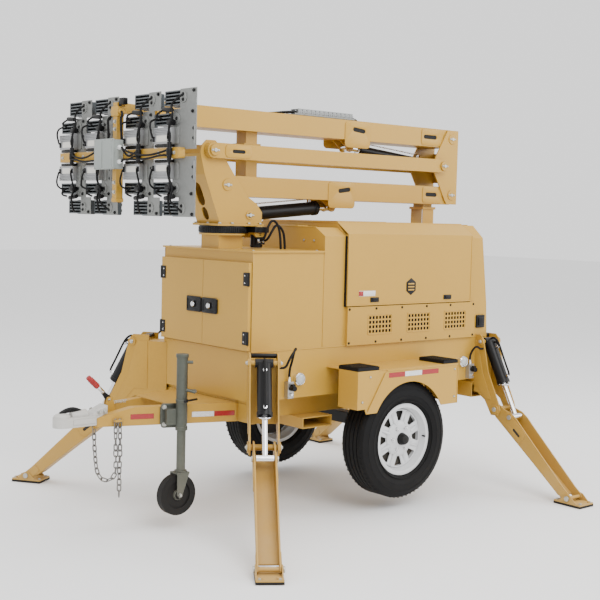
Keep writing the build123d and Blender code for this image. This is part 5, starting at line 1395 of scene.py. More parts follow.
@dataclass
class Cabinet:
    """Door hinges, latch plates and keys, roof bolts and seams of the front cabinet."""

    front: float = -730.0
    hinge_z: tuple[float, float] = (1030.0, 1350.0)
    latch: Range = (76.0, 1184.0)
    hinge_half: float = 36.0

    def doors(self) -> None:
        """Adds two black hinges with chrome bolts to each door."""
        for side in Side:
            s = side.value
            hinge = Piece(side.word + "_door_hinges", side.word + "_cabinet_door", Coats.BLACK)
            bolts = []
            for z in self.hinge_z:
                leaf = sorted((s * 378, s * 414))
                hinge.box((self.front - 4, self.front), tuple(leaf),
                          (z - self.hinge_half, z + self.hinge_half), 1.5)
                hinge.bar((self.front, s * 420, z - self.hinge_half - 1),
                          (self.front, s * 420, z + self.hinge_half + 1), 8.3, 20, 1)
                hinge.box((self.front - 1, self.front + 4), tuple(sorted((s * 410, s * 420))),
                          (z - self.hinge_half + 3, z + self.hinge_half - 3), 1)
                bolts += [spot((self.front - 4, s * 394, z + dz), Facing.FRONT, scale=0.75)
                          for dz in (-20, 20)]
            hinge.done()
            on_spots(side.word + "_hinge_bolts", side.word + "_cabinet_door", Shape.ROUND_BOLT,
                     Coats.CHROME, bolts)
            self.latch_parts(side)

    def latch_parts(self, side: Side) -> None:
        """Adds a door's black latch plate with its raised rim, and the chrome key that turns in it."""
        y, z = side.value * self.latch[0], self.latch[1]
        cover = Piece(side.word + "_latch_plate", side.word + "_cabinet_door", Coats.BLACK)
        cover.plate([rounded((y - 71, y + 71), (z - 43.6, z + 43.6), 7), stadium(y, z, 0.1, 17.6, 0, 12)],
                    9.4, front_plane(self.front - 4.5), 1)
        cover.plate([rounded((y - 66, y + 66), (z - 39, z + 39), 5),
                     rounded((y - 59, y + 59), (z - 32, z + 32), 3)], 3.5, front_plane(self.front - 10.4), 0.8)
        cover.done()
        key = Piece(side.word + "_latch_key", side.word + "_door_latch", Coats.CHROME)
        key.turned([(0, 0), (16.6, 0), (16.6, 4), (12, 8.6), (4, 8.6), (4, 7.6), (0, 7.6)],
                   (self.front - 14, y, z), Facing.FRONT, 28)
        key.box((self.front - 24, self.front - 21), (y - 3, y + 3), (z - 14, z + 14), 1)
        key.done()

    def build(self) -> None:
        """Builds the cabinet's details."""
        self.doors()
        bolts = [spot((-192, y, 1560), Facing.FRONT) for y in (-330, -240, 240, 330)]
        bolts += [spot((-716 + 30, y, 1505), Facing.UP) for y in (-400, 400)]
        bolts += [spot((-230, y, 1505), Facing.UP) for y in (-400, 400)]
        on_spots("roof_bolts", "chassis", Shape.ROUND_BOLT, Coats.ZINC, bolts)
        seam = Piece("cabinet_seams", "chassis", Coats.SAND)
        for side in Side:
            s = side.value
            for x in (-703, -191):
                seam.box((x - 4, x + 4), tuple(sorted((s * 423, s * 427))), (958, 1494), 1.5)
            seam.box((-704, 1214), tuple(sorted((s * 423, s * 427))), (950, 958), 1.5)
        seam.box((-707, -703), (-424, 424), (946, 954), 1.5)
        seam.done()


@dataclass
class Housing:
    """Grilles, side-door trim, plates and rear panel of the generator housing."""

    face: float = 445.0
    grille: Range = (-20.0, 1083.0)
    grille_z: Range = (955.0, 1180.0)
    door: Range = (-30.0, 1040.0)

    def side_parts(self, side: Side) -> None:
        """Adds the details of one long side.

        Args:
            side: The side.
        """
        s, word = side.value, side.word
        facing = Facing.NEAR if side is Side.NEAR else Facing.FAR
        mesh = Piece(word + "_grille_backing", "chassis", Coats.DARK_INSIDE)
        mesh.box((8, 1045), tuple(sorted((s * 426, s * 428))), (980, 1156))
        mesh.done()
        step = (self.grille[1] - self.grille[0]) / 3.36
        first = self.grille[0] + step * 0.80
        middle = sum(self.grille_z) / 2 + 4
        frames = Piece(word + "_grille_frames", "chassis", Coats.SAND)
        for group in range(3):
            x = first + group * step
            frames.plate([rounded((x - 101, x + 101), (middle - 61, middle + 61), 10),
                          rounded((x - 96, x + 96), (middle - 56, middle + 56), 8)], 2.4,
                         side_plane(s * (self.face + 1)), 0.8)
        frames.done()
        xs = [self.grille[0] + 14 + (self.grille[1] - self.grille[0] - 28) * i / 5 for i in range(6)]
        bolts = [spot((x, s * self.face, z), facing) for x in xs for z in (970, 1166)]
        on_spots(word + "_grille_bolts", "chassis", Shape.ROUND_BOLT, Coats.BLACK, bolts)
        lid = word + "_gull_door"
        trim = Piece(word + "_door_trim", lid, Coats.SAND)
        trim.box(self.door, tuple(sorted((s * (self.face - 1), s * (self.face + 4)))), (1185, 1192), 1.5)
        for x in (self.door[0] + 3, self.door[1] - 3):
            trim.box((x - 3, x + 3), tuple(sorted((s * (self.face - 1), s * (self.face + 3)))),
                     (1190, 1601), 1.2)
        trim.done()
        handle = Piece(word + "_door_handles", lid, Coats.BLACK)
        for x in (190, 820):
            handle.box((x - 34, x + 34), tuple(sorted((s * self.face, s * (self.face + 5)))), (1204, 1232), 2)
            handle.box((x - 22, x + 22), tuple(sorted((s * (self.face + 4), s * (self.face + 10)))),
                       (1210, 1226), 3)
        handle.done()
        seal = Piece(word + "_door_gasket", "chassis", Coats.RUBBER)
        seal.box((self.door[0] - 5, self.door[0] - 1), tuple(sorted((s * 423, s * 440))), (1182, 1590), 1)
        seal.box((self.door[1] + 1, self.door[1] + 6), tuple(sorted((s * 423, s * 440))), (1182, 1590), 1)
        seal.box((self.door[0], self.door[1]), tuple(sorted((s * 423, s * 440))), (1181, 1184), 0.6)
        seal.done()
        plate = Piece(word + "_maker_plate", lid, Coats.BLACK)
        plate.plate([[(494 + 46 * math.cos(t), 1290 + 52 * math.sin(t))
                      for t in (math.tau * i / 6 + math.pi / 6 for i in range(6))]], 2.4,
                    side_plane(s * (self.face + 1.2)), 0.6)
        plate.done()
        field_plate = Piece(word + "_maker_plate_field", lid, Coats.SAND)
        for i in range(3):
            field_plate.box((468, 520), tuple(sorted((s * (self.face + 2), s * (self.face + 3.6)))),
                            (1266 + 18 * i, 1275 + 18 * i), 1)
        field_plate.done()
        sign = Piece(word + "_blank_sign_pale", lid, Coats.PLATE_PALE)
        sign.box((62, 196), tuple(sorted((s * self.face, s * (self.face + 1)))), (1240, 1272), 0.3)
        sign.done()
        band = Piece(word + "_blank_sign_red", lid, Coats.RED_REFLECTOR)
        band.box((62, 98), tuple(sorted((s * (self.face + 1), s * (self.face + 1.8)))), (1242, 1270), 0.2)
        band.done()
        socket = Piece(word + "_rear_socket_panel", "chassis", Coats.BLACK)
        socket.box((1120, 1196), tuple(sorted((s * 424, s * 436))), (1010, 1092), 4)
        socket.box((1132, 1184), tuple(sorted((s * 434, s * 446))), (1024, 1078), 5)
        socket.done()

    def build(self) -> None:
        """Builds the housing's details."""
        for side in Side:
            self.side_parts(side)
        roof = Piece("roof_seams", "chassis", Coats.SAND)
        for x in (-188, -28, 1100):
            top = 1636 if x < -100 else 1665
            roof.box((x - 5, x + 5), (-343, 343), (top - 1, top + 4), 1.5)
        roof.box((-140, -60), (-120, 120), (1636, 1644), 3)
        roof.done()
        rear = Piece("rear_panel_louvres", "chassis", Coats.SAND)
        rear.box((1228, 1240), (-300, 300), (720, 930), 3)
        rear.done()
        in_row("rear_louvre_slats", "chassis", Shape.RIB, Coats.BLACK, 7, (0, 0, 0), (0, 0, 24 / 9),
               STATION @ Matrix.Translation((1241, 0, 748)) @ Matrix.Diagonal((4, 520, 9, 1)))
        bolts = [spot((1240, y, z), Facing.BACK) for y in (-285, 285) for z in (735, 915)]
        on_spots("rear_panel_bolts", "chassis", Shape.ROUND_BOLT, Coats.BLACK, bolts)


# ---- turret and booms ----------------------------------------------------------------------

@dataclass
class Boom:
    """Doubler plates with slots, pin retainers, cable carrier and ram fittings of the booms."""

    turret: tuple[float, float] = (-653.0, 1862.0)
    elbow_low: tuple[float, float] = (1192.0, 1862.0)
    elbow_high: tuple[float, float] = (1185.0, 2230.0)
    link_turret: tuple[float, float] = (-776.0, 2047.0)
    link_elbow: tuple[float, float] = (1069.0, 2047.0)
    cheek: float = 109.0
    link_face: float = 149.0
    boom_face: float = 97.0
    slew_x: float = -603.0

    def retainer(self, name: str, body: str, pins: Sequence[tuple[tuple[float, float], float]],
                 radius: float = 33.0) -> None:
        """Adds a boss, a cross bar and two bolts at each pin, on both sides.

        Args:
            name: Name of the piece.
            body: The body that carries the pins.
            pins: Each pin's place and the Y of the face that it comes through.
            radius: Radius of the boss.
        """
        boss = Piece(name, body, Coats.SAND)
        steel = Piece(name + "_keepers", body, Coats.ZINC)
        bolts = []
        for (x, z), face in pins:
            for side in Side:
                s = side.value
                facing = Facing.NEAR if side is Side.NEAR else Facing.FAR
                boss.turned([(0, -1), (radius, -1), (radius, 4), (radius - 2, 6), (0, 6)],
                            (x, s * face, z), facing, 36)
                steel.turned([(0, 5), (11, 5), (11, 12), (9, 14), (0, 14)], (x, s * face, z), facing, 28)
                steel.box((x - 27, x + 27), tuple(sorted((s * (face + 6), s * (face + 10)))),
                          (z - 5, z + 5), 1.5)
                bolts += [spot((x + dx, s * (face + 9), z), facing, scale=0.5) for dx in (-20, 20)]
        boss.done()
        steel.done()
        on_spots(name + "_bolts", body, Shape.HEX_BOLT, Coats.ZINC, bolts)

    def doubler(self, name: str, body: str, outline: Sequence[Range], slots: Sequence[Sequence[Range]],
                face: float, finish: Finish = Coats.SAND) -> None:
        """Adds a welded plate with slots on both sides of a boom.

        Args:
            name: Name of the piece.
            body: The boom's body.
            outline: The plate's outline.
            slots: Its slots.
            face: Y of the boom's face.
            finish: Its finish.
        """
        plate = Piece(name, body, finish)
        for side in Side:
            plate.plate([outline, *slots], 4, side_plane(side.value * (face + 1.9)), 0.8)
        plate.done()

    def plates(self) -> None:
        """Adds the doublers, and near-black sheets laid in their slots as painted shade."""
        self.doubler("lower_lug_doubler", "lower_boom", rounded((112, 330), (1752, 1912), 26),
                     [stadium(242, 1862, 74, 13, 8)], self.boom_face)
        self.doubler("upper_lug_doubler", "upper_boom", rounded((236, 446), (2124, 2284), 26),
                     [stadium(352, 2232, 78, 13, -6)], self.boom_face)
        self.doubler("upper_tip_doubler", "upper_boom", rounded((-1104, -1010), (2176, 2284), 16),
                     [stadium(-1052, 2230, 30, 12, 90)], self.boom_face)
        self.doubler("upper_root_doubler", "upper_boom", rounded((905, 1108), (2178, 2282), 20),
                     [stadium(985, 2232, 96, 13, 0)], self.boom_face)
        self.doubler("lower_root_doubler", "lower_boom", rounded((930, 1112), (1806, 1910), 20),
                     [stadium(1010, 1860, 80, 13, 0)], self.boom_face)
        self.doubler("link_doublers", "link_bars", rounded((-700, -520), (2012, 2082), 20),
                     [stadium(-608, 2047, 70, 10, 0)], self.link_face)
        # Painted shade: near-black sheets laid on the boom and link faces inside each slot.
        dark = Piece("slot_shadow_upper", "upper_boom", Coats.DARK_INSIDE)
        darker = Piece("slot_shadow_lower", "lower_boom", Coats.DARK_INSIDE)
        darkest = Piece("slot_shadow_links", "link_bars", Coats.DARK_INSIDE)
        for side in Side:
            for piece, face, slots in (
                    (dark, self.boom_face, (stadium(352, 2232, 78, 13, -6), stadium(-1052, 2230, 30, 12, 90),
                                            stadium(985, 2232, 96, 13, 0))),
                    (darker, self.boom_face, (stadium(242, 1862, 74, 13, 8), stadium(1010, 1860, 80, 13, 0))),
                    (darkest, self.link_face, (stadium(-608, 2047, 70, 10, 0),))):
                for slot_line in slots:
                    piece.plate([slot_line], 0.8, side_plane(side.value * (face + 0.5)))
        for piece in (dark, darker, darkest):
            piece.done()

    def carrier(self) -> None:
        """Adds the cable carrier in place of its plain solid, with its tray and the leads along the boom."""
        in_row("cable_carrier_links", "upper_boom", Shape.CARRIER_LINK, Coats.CARRIER, 13, (0, 0, 0),
               (34, 0, 0), STATION @ Matrix.Translation((-104, -39, 2295)), "energy_chain")
        tray = Piece("cable_carrier_tray", "upper_boom", Coats.BRACKET)
        tray.box((-150, 330), (-80, -76), (2289, 2303), 1).box((-150, 330), (-2, 2), (2289, 2303), 1)
        tray.box((-150, 330), (-80, 2), (2289, 2294), 1)
        tray.done()
        leads = Piece("boom_leads", "upper_boom", Coats.RUBBER)
        for y, rise, lane in ((-60, 2303, 62), (-44, 2306, 74), (-26, 2302, 86)):
            leads.tube([(-122, y, rise + 8), (-190, y + 10, rise + 2), (-250, lane - 40, 2298),
                        (-330, lane, 2296), (-620, lane, 2296), (-900, lane, 2296),
                        (-1098, lane - 20, 2296)], 6)
            leads.tube([(318, y, rise + 4), (372, y + 12, 2299), (450, lane - 30, 2297),
                        (540, lane, 2296), (800, lane, 2296), (1100, lane, 2296)], 6)
        for x in (-700, -400, 620, 900):
            leads.box((x - 6, x + 6), (54, 94), (2289, 2304), 3)
        leads.done()

    def slewing(self) -> None:
        """Adds the ring gear's teeth, base bolts and the motor's fittings."""
        ring = STATION @ Matrix.Translation((self.slew_x, 0, 1611))
        on_ring("slewing_teeth", "chassis", Shape.TOOTH, Coats.BLACK, 64, 131.0, ring)
        bolts = [spot((self.slew_x + 100 * math.cos(math.tau * i / 12), 100 * math.sin(math.tau * i / 12),
                       1645), Facing.UP, scale=0.9) for i in range(12)]
        bolts += [spot((x, s * 116, 1645), Facing.UP) for x in (-706, -620, -500, -420) for s in (-1, 1)]
        on_spots("turret_base_bolts", "turret", Shape.HEX_BOLT, Coats.ZINC, bolts)
        motor = Piece("slew_motor_fittings", "chassis", Coats.BLACK)
        for z in (1520, 1580, 1590):
            motor.bar((-431, -98, z), (-431, -98, z + 6), 37, 28, 2)
        motor.done()
        caps = Piece("slew_worm_housing", "chassis", Coats.SAND)
        caps.bar((-435, -128, 1600), (-435, 66, 1600), 34, 30, 3)
        for y in (-134, 60):
            caps.bar((-435, y, 1600), (-435, y + 8, 1600), 38, 30, 3)
        caps.done()
        ports = [spot((-431 + dx, -142, 1551), Facing.NEAR, scale=0.8) for dx in (-14, 16)]
        on_spots("slew_motor_ports", "chassis", Shape.NUT, Coats.CHROME, ports)
        hoses = Piece("slew_motor_hoses", "chassis", Coats.RUBBER)
        for dx, rise in ((-14, 0), (16, -26)):
            x = -431 + dx
            hoses.tube([(x, -142, 1551), (x, -166, 1552), (x + 6, -186, 1572), (x + 20, -192, 1630 + rise),
                        (x + 52, -194, 1676 + rise), (x + 92, -196, 1650 + rise),
                        (x + 110, -200, 1580), (x + 112, -202, 1506)], 7)
        hoses.done()

    def rams(self) -> None:
        """Adds ports, hard lines and gland nuts to the two boom rams."""
        for name, body, start, end, radius, reach in (
                ("lower_ram_ports", "lower_ram_barrel", (-492, 1695), (197, 1759), 40, 590),
                ("upper_ram_ports", "upper_ram_barrel", (1045, 2065), (336, 2131), 30, 610)):
            way = Vector((end[0] - start[0], 0, end[1] - start[1])).normalized()
            base = Vector((start[0], 0, start[1]))
            across = Vector((-way.z, 0, way.x)) * (1 if way.x > 0 else -1)
            steel = Piece(name, body, Coats.CHROME)
            for along in (70, reach - 40):
                foot = base + way * along + across * (radius - 2)
                steel.bar(foot, foot + across * 15, 9, 6)
                steel.bar(foot + across * 13, foot + across * 20, 6, 12)
            foot = base + way * 70 + across * (radius + 14)
            last = base + way * (reach - 40) + across * (radius + 14)
            steel.tube([foot, foot + way * 14 + across * 3, last - way * 14 + across * 3, last], 4, 2, False)
            steel.bar(base + way * (reach - 1), base + way * (reach + 5), radius - 5, 30, 1)
            steel.done()

    def build(self) -> None:
        """Builds the details of the turret, booms and rams."""
        self.retainer("turret_pin_bosses", "turret", ((self.turret, self.cheek),))
        self.retainer("link_pin_bosses_front", "turret", ((self.link_turret, self.link_face + 6),), 30)
        self.retainer("ram_pin_bosses", "turret", (((-492, 1695), self.cheek),), 26)
        self.retainer("elbow_pin_bosses", "elbow", ((self.elbow_low, self.cheek),
                                                    (self.elbow_high, self.cheek),
                                                    ((1045, 2065), self.cheek)))
        self.retainer("link_pin_bosses_rear", "elbow", ((self.link_elbow, self.link_face + 6),), 30)
        self.plates()
        self.carrier()
        self.slewing()
        self.rams()


# ---- outriggers ----------------------------------------------------------------------------

@dataclass
class Outrigger:
    """Ports, hoses, pin retainers, pads and leg plates of one outrigger, in its own plane."""

    corner: Corner
    pivot: tuple[float, float] = (182.0, 504.0)
    foot: tuple[float, float] = (752.0, 43.0)
    ram_top: tuple[float, float] = (47.0, 924.0)
    leg_face: float = 58.0
    arm_face: float = 78.5
    eye_along: float = 105.0
    eye_up: float = 36.0

    def on_leg(self, along: float, above: float) -> tuple[float, float]:
        """A point along the leg from its pivot and above its centre line."""
        run = Vector((self.foot[0] - self.pivot[0], self.foot[1] - self.pivot[1])).normalized()
        return (self.pivot[0] + along * run.x - above * run.y, self.pivot[1] + along * run.y + above * run.x)

    @property
    def eye(self) -> tuple[float, float]:
        """The ram's lower pin."""
        return self.on_leg(self.eye_along, self.eye_up)

    def leg(self) -> None:
        """Adds the leg's slotted doublers with painted shade sheets in their slots, edge beads and pin heads.
        """
        word, place = self.corner.word, self.corner.place
        lean = math.degrees(math.atan2(self.foot[1] - self.pivot[1], self.foot[0] - self.pivot[0]))
        run = math.radians(lean)
        local = place @ Matrix.Translation((self.pivot[0], 0, self.pivot[1])) @ Matrix.Rotation(-run, 4, "Y")
        plates = Piece(word + "_leg_plates", word + "_leg", Coats.SAND_FRAME, local)
        # Painted shade: near-black sheets laid on the leg faces inside the slots.
        dark = Piece(word + "_leg_slots", word + "_leg", Coats.DARK_INSIDE, local)
        for s in (-1, 1):
            plates.plate([rounded((62, 268), (-34, 52), 20), stadium(206, 2, 50, 9)], 3.4,
                         side_plane(s * (self.leg_face + 1.5)), 0.6)
            dark.plate([stadium(206, 2, 50, 9)], 0.8, side_plane(s * (self.leg_face + 0.5)))
            plates.plate([rounded((640, 728), (-30, 16), 12)], 3.4, side_plane(s * (self.leg_face + 1.5)), 0.6)
        length = math.hypot(self.foot[0] - self.pivot[0], self.foot[1] - self.pivot[1])
        plates.box((300, length - 60), (-58, 58), (-40.5, -36), 1)
        plates.done()
        dark.done()
        steel = Piece(word + "_leg_pins", word + "_leg", Coats.ZINC, place)
        x, z = self.eye
        for s in (-1, 1):
            steel.bar((x, s * 62, z), (x, s * 70, z), 15, 20, 2)
        steel.done()

    def arm(self) -> None:
        """Adds the arm's pin keepers, black tie tube and stiffening ribs."""
        word, place = self.corner.word, self.corner.place
        keepers = Piece(word + "_arm_keepers", "chassis", Coats.ZINC, place)
        bolts = []
        for (x, z), radius in ((self.pivot, 15), (self.ram_top, 12)):
            for s, facing in ((-1, Facing.NEAR), (1, Facing.FAR)):
                face = self.arm_face + 8
                keepers.turned([(0, 0), (radius, 0), (radius, 4), (radius - 2, 6), (0, 6)],
                               (x, s * face, z), facing, 24)
                bolts.append(spot((x, s * (face + 5), z), facing, place, 0.8))
        keepers.done()
        on_spots(word + "_arm_bolts", "chassis", Shape.HEX_BOLT, Coats.ZINC, bolts)
        tie = Piece(word + "_arm_tie_tube", "chassis", Coats.BLACK, place)
        tie.bar((-24, -self.arm_face + 6, 954), (-24, self.arm_face - 6, 954), 13, 24, 2)
        tie.done()
        ribs = Piece(word + "_arm_edges", "chassis", Coats.SAND_FRAME, place)
        for s in (-1, 1):
            ribs.plate([[(-54, 930), (6, 930), (24, 915), (70, 728), (150, 560), (96, 560), (30, 640),
                         (-54, 640)]], 3, side_plane(s * (self.arm_face + 1.2)), 0.5)
        ribs.done()

    def hydraulics(self) -> None:
        """Adds the ram's ports, gland ring and hose loops."""
        word, place = self.corner.word, self.corner.place
        x0, z0 = self.ram_top
        way = Vector((self.eye[0] - x0, 0, self.eye[1] - z0)).normalized()
        out = Vector((-way.z, 0, way.x))
        top = Vector((x0, 0, z0))
        steel = Piece(word + "_ram_ports", word + "_ram_barrel", Coats.CHROME, place)
        hose = Piece(word + "_ram_hoses", word + "_ram_barrel", Coats.RUBBER, place)
        for along, bend in ((58, 1), (258, -1)):
            foot = top + way * along + out * 36
            steel.bar(foot, foot + out * 18, 9, 6)
            steel.bar(foot + out * 18, foot + out * 24, 11, 16, 1.5)
        steel.turned([(16, 0), (34, 0), (36, 3), (34, 8), (16, 8)], tuple(top + way * 292), Facing.DOWN, 32)
        low, high = top + way * 258 + out * 60, top + way * 58 + out * 60
        steel.done()
        hose.tube([low - out * 4, low + out * 2, low + out * 7 - way * 16, low + out * 6 - way * 60,
                   high + out * 8 + way * 60, high + out * 10, high + out * 4 - way * 40,
                   high - out * 14 - way * 66, high - out * 44 - way * 66, high - out * 66 - way * 40,
                   high - out * 92 - way * 26], 6.5)
        hose.tube([high - out * 4, high + out * 1, high + out * 2 - way * 14,
                   high - out * 14 - way * 36, high - out * 44 - way * 40, high - out * 76 - way * 20], 6.5)
        hose.done()

    def pad(self) -> None:
        """Adds the black rubber sole and the foot's bolts."""
        word, place = self.corner.word, self.corner.place
        x, _ = self.foot
        sole = Piece(word + "_rubber_pad", word + "_foot", Coats.RUBBER, place)
        sole.box((x - 96.5, x + 96.5), (-68, 68), (0.2, 12.2), 1.5)
        sole.done()
        bolts = [spot((x + u, y, 22), Facing.UP, place, 0.9) for u in (-82, 82) for y in (-46, 46)]
        on_spots(word + "_foot_bolts", word + "_foot", Shape.HEX_BOLT, Coats.ZINC, bolts)
        pin = Piece(word + "_foot_pin_heads", word + "_foot", Coats.ZINC, place)
        for s in (-1, 1):
            pin.bar((x, s * 66, self.foot[1]), (x, s * 76, self.foot[1]), 16, 20, 2)
        pin.done()

    def build(self) -> None:
        """Builds the outrigger's details."""
        self.leg()
        self.arm()
        self.hydraulics()
        self.pad()


@dataclass
class ValveBlocks:
    """Fittings on the four valve blocks beside the outriggers."""

    places: tuple[tuple[float, float], ...] = ((-466.0, 686.0), (1040.0, 690.0))

    def build(self) -> None:
        """Adds the hose fittings, solenoids and screws."""
        fittings = Piece("valve_fittings", "chassis", Coats.CHROME)
        coils = Piece("valve_coils", "chassis", Coats.BLACK)
        screws = []
        for side in Side:
            s = side.value
            facing = Facing.NEAR if side is Side.NEAR else Facing.FAR
            for x, z in self.places:
                y = s * 441
                fittings.bar((x + 21, y, z + 90), (x + 21, y, z + 106), 11, 6)
                fittings.bar((x + 21, y, z + 106), (x + 21, y, z + 118), 8.5, 18, 1)
                fittings.bar((x + 21, s * 457, z + 22), (x + 21, s * 470, z + 22), 9, 6)
                coils.bar((x + 21, s * 457, z + 58), (x + 21, s * 494, z + 58), 15, 24, 2)
                coils.box((x + 10, x + 32), tuple(sorted((s * 466, s * 486))), (z + 70, z + 82), 2)
                screws += [spot((x + u, s * 458, z + v), facing, scale=0.6)
                           for u in (6, 36) for v in (8, 84)]
        fittings.done()
        coils.done()
        on_spots("valve_screws", "chassis", Shape.ROUND_BOLT, Coats.ZINC, screws)


# ---- lamp head -----------------------------------------------------------------------------

@dataclass
class LampHead:
    """Lamp modules, drivers, junction box, leads and bolts of the lamp head."""

    height: float = 1992.0
    back: float = -1275.0
    columns: tuple[float, ...] = (466.0, 184.0, -222.0, -504.0)
    rows: tuple[tuple[float, float, float, float], ...] = ((138.0, 204.0, 190.0, 0.0),
                                                           (233.0, 314.0, 158.0, -58.0))
    driver_row: Range = (46.0, 128.0)
    driver_width: float = 155.0
    body: str = "lamp_head"

    def modules(self) -> Iterable[tuple[Range, Range]]:
        """Every module's range along Y and Z."""
        for near in self.columns:
            for low, high, width, shift in self.rows:
                for sign in (-1, 1):
                    z = sorted((self.height + sign * low, self.height + sign * high))
                    yield (near + shift, near + shift + width), (z[0], z[1])

    def lamps(self) -> None:
        """Makes the finned lamp modules in place of their plain solids."""
        cases = Piece("lamp_cases", self.body, Coats.LAMP)
        glass = Piece("lamp_glasses", self.body, Coats.LENS)
        domes: list[Matrix] = []
        fins: list[Matrix] = []
        for y, z in self.modules():
            tall = z[1] - z[0]
            cases.box((-1222, -1189), y, z, 7)
            cases.box((-1272, -1220), (y[0], y[0] + 9), (z[0] + 3, z[1] - 3), 5)
            cases.box((-1272, -1220), (y[1] - 9, y[1]), (z[0] + 3, z[1] - 3), 5)
            cases.box((-1236, -1220), (y[0] + 4, y[1] - 4), (z[0] + 4, z[1] - 4), 3)
            count = 5 if tall > 70 else 4
            for i in range(count):
                level = z[0] + 7 + (tall - 14) * i / (count - 1)
                fins.append(STATION @ Matrix.Translation((-1245, (y[0] + y[1]) / 2, level - 3.6))
                            @ Matrix.Diagonal((54, y[1] - y[0] - 14, 7.2, 1)))
            glass.box((-1190, -1186.5), (y[0] + 7, y[1] - 7), (z[0] + 7, z[1] - 7), 1.2)
            for row in range(2):
                for column in range(6):
                    domes.append(spot((-1187, y[0] + (column + 0.5) * (y[1] - y[0]) / 6,
                                       z[0] + tall * (0.3 + 0.4 * row)), Facing.BACK, scale=0.9))
        cases.done("lamp_modules")
        glass.done("lamp_modules")
        # The fins carry a painted highlight: they are painted lighter than the case behind them.
        on_spots("lamp_fins", self.body, Shape.RIB, Coats.FIN, fins, "lamp_modules")
        on_spots("lamp_lens_domes", self.body, Shape.LENS_DOME, Coats.LENS, domes, "lamp_modules")

    def drivers(self) -> None:
        """Makes the ridged driver cases, their black end caps and feet."""
        cases = Piece("driver_cases", self.body, Coats.SILVER)
        caps = Piece("driver_end_caps", self.body, Coats.BLACK)
        labels = Piece("driver_label_plates", self.body, Coats.PLATE_PALE)
        ridges: list[Matrix] = []
        screws: list[Matrix] = []
        for near in self.columns:
            y = (near - 5, near - 5 + self.driver_width)
            for sign in (-1, 1):
                z = sorted((self.height + sign * self.driver_row[0], self.height + sign * self.driver_row[1]))
                cases.box((self.back - 31, self.back - 1), y, (z[0], z[1]), 3)
                label = sorted((self.height + sign * 54, self.height + sign * 92))
                labels.box((self.back - 33, self.back - 30), (y[0] + 26, y[1] - 34),
                           (label[0] + 3, label[1] - 3), 1)
                for end, wide in ((y[0], 17), (y[1] - 17, 17)):
                    caps.box((self.back - 36, self.back - 28), (end + 2, end + wide),
                             (label[0] + 4, label[1] - 6), 2.5)
                for i in range(4):
                    level = self.height + sign * (99 + 8.5 * i)
                    ridges.append(STATION @ Matrix.Translation((self.back - 33.5, sum(y) / 2, level - 2.2))
                                  @ Matrix.Diagonal((7, self.driver_width - 4, 4.4, 1)))
                screws += [spot((self.back - 31, end, self.height + sign * 50), Facing.FRONT, scale=0.55)
                           for end in (y[0] + 8, y[1] - 8)]
                foot = sorted((self.height + sign * 30, self.height + sign * 45))
                caps.box((self.back - 24, self.back - 2), (y[0] + 3, y[1] - 3), (foot[0], foot[1]), 3)
        cases.done("driver_boxes")
        caps.done("driver_boxes")
        labels.done()
        on_spots("driver_ridges", self.body, Shape.RIB, Coats.SILVER, ridges, "driver_boxes")
        on_spots("driver_screws", self.body, Shape.ROUND_BOLT, Coats.ZINC, screws)

    def junction(self) -> None:
        """Makes the junction box with its lid, screws and glands."""
        box = Piece("junction_box", self.body, Coats.JUNCTION)
        box.box((-1374, -1317), (-92, 92), (1919, 2071), 5)
        box.box((-1385, -1372), (-96, 96), (1915, 2075), 6)
        box.box((-1388, -1384), (14, 84), (1922, 2068), 2)
        box.box((-1388, -1384), (-84, -6), (1922, 2068), 2)
        box.done("driver_boxes")
        glands = Piece("junction_glands", self.body, Coats.GLAND)
        for y, way in ((-92, -1), (92, 1)):
            for z in (1956, 2030):
                glands.bar((-1345, y, z), (-1345, y + way * 12, z), 13, 6, 1)
                glands.bar((-1345, y + way * 12, z), (-1345, y + way * 26, z), 11, 16, 2, 7)
        glands.done()
        screws = [spot((-1385, y, z), Facing.FRONT, scale=0.6) for y in (-88, 88) for z in (1923, 2067)]
        on_spots("junction_screws", self.body, Shape.ROUND_BOLT, Coats.ZINC, screws)

    def brackets(self) -> None:
        """Adds bolts, folded stiffeners and rounded lugs to the bracket plates."""
        folds = Piece("bracket_folds", self.body, Coats.BRACKET)
        bolts: list[Matrix] = []
        for index, near in enumerate(self.columns):
            y0, y1 = near - (182 if index == 3 else 92), near + 16
            outer0, outer1 = (y0 if index == 3 else y0 - 58), y1 - 58
            for sign in (-1, 1):
                z = sorted((self.height + sign * 40, self.height + sign * 134))
                folds.box((-1284, -1274), (y0 + 2, y0 + 7), (z[0], z[1]), 1.5)
                folds.box((-1280, -1274), (y1 - 58, y1 - 20), (z[0] + 6, z[1] - 6), 2)
                folds.bar((-1279, y1 - 34, self.height + sign * 171),
                          (-1275, y1 - 34, self.height + sign * 171), 27, 32, 1.5)
                folds.bar((-1279, outer1 - 30, self.height + sign * 273),
                          (-1275, outer1 - 30, self.height + sign * 273), 28, 32, 1.5)
                for y, v in ((y0 + 14, 70), (y0 + 14, 118), (y1 - 34, 171), (y0 + 28, 200),
                             (outer1 - 30, 260), (outer1 - 30, 288), (outer0 + 20, 300)):
                    bolts.append(spot((-1278, y, self.height + sign * v), Facing.FRONT, scale=0.8))
        folds.done()
        on_spots("bracket_bolts", self.body, Shape.HEX_BOLT, Coats.BLACK, bolts)

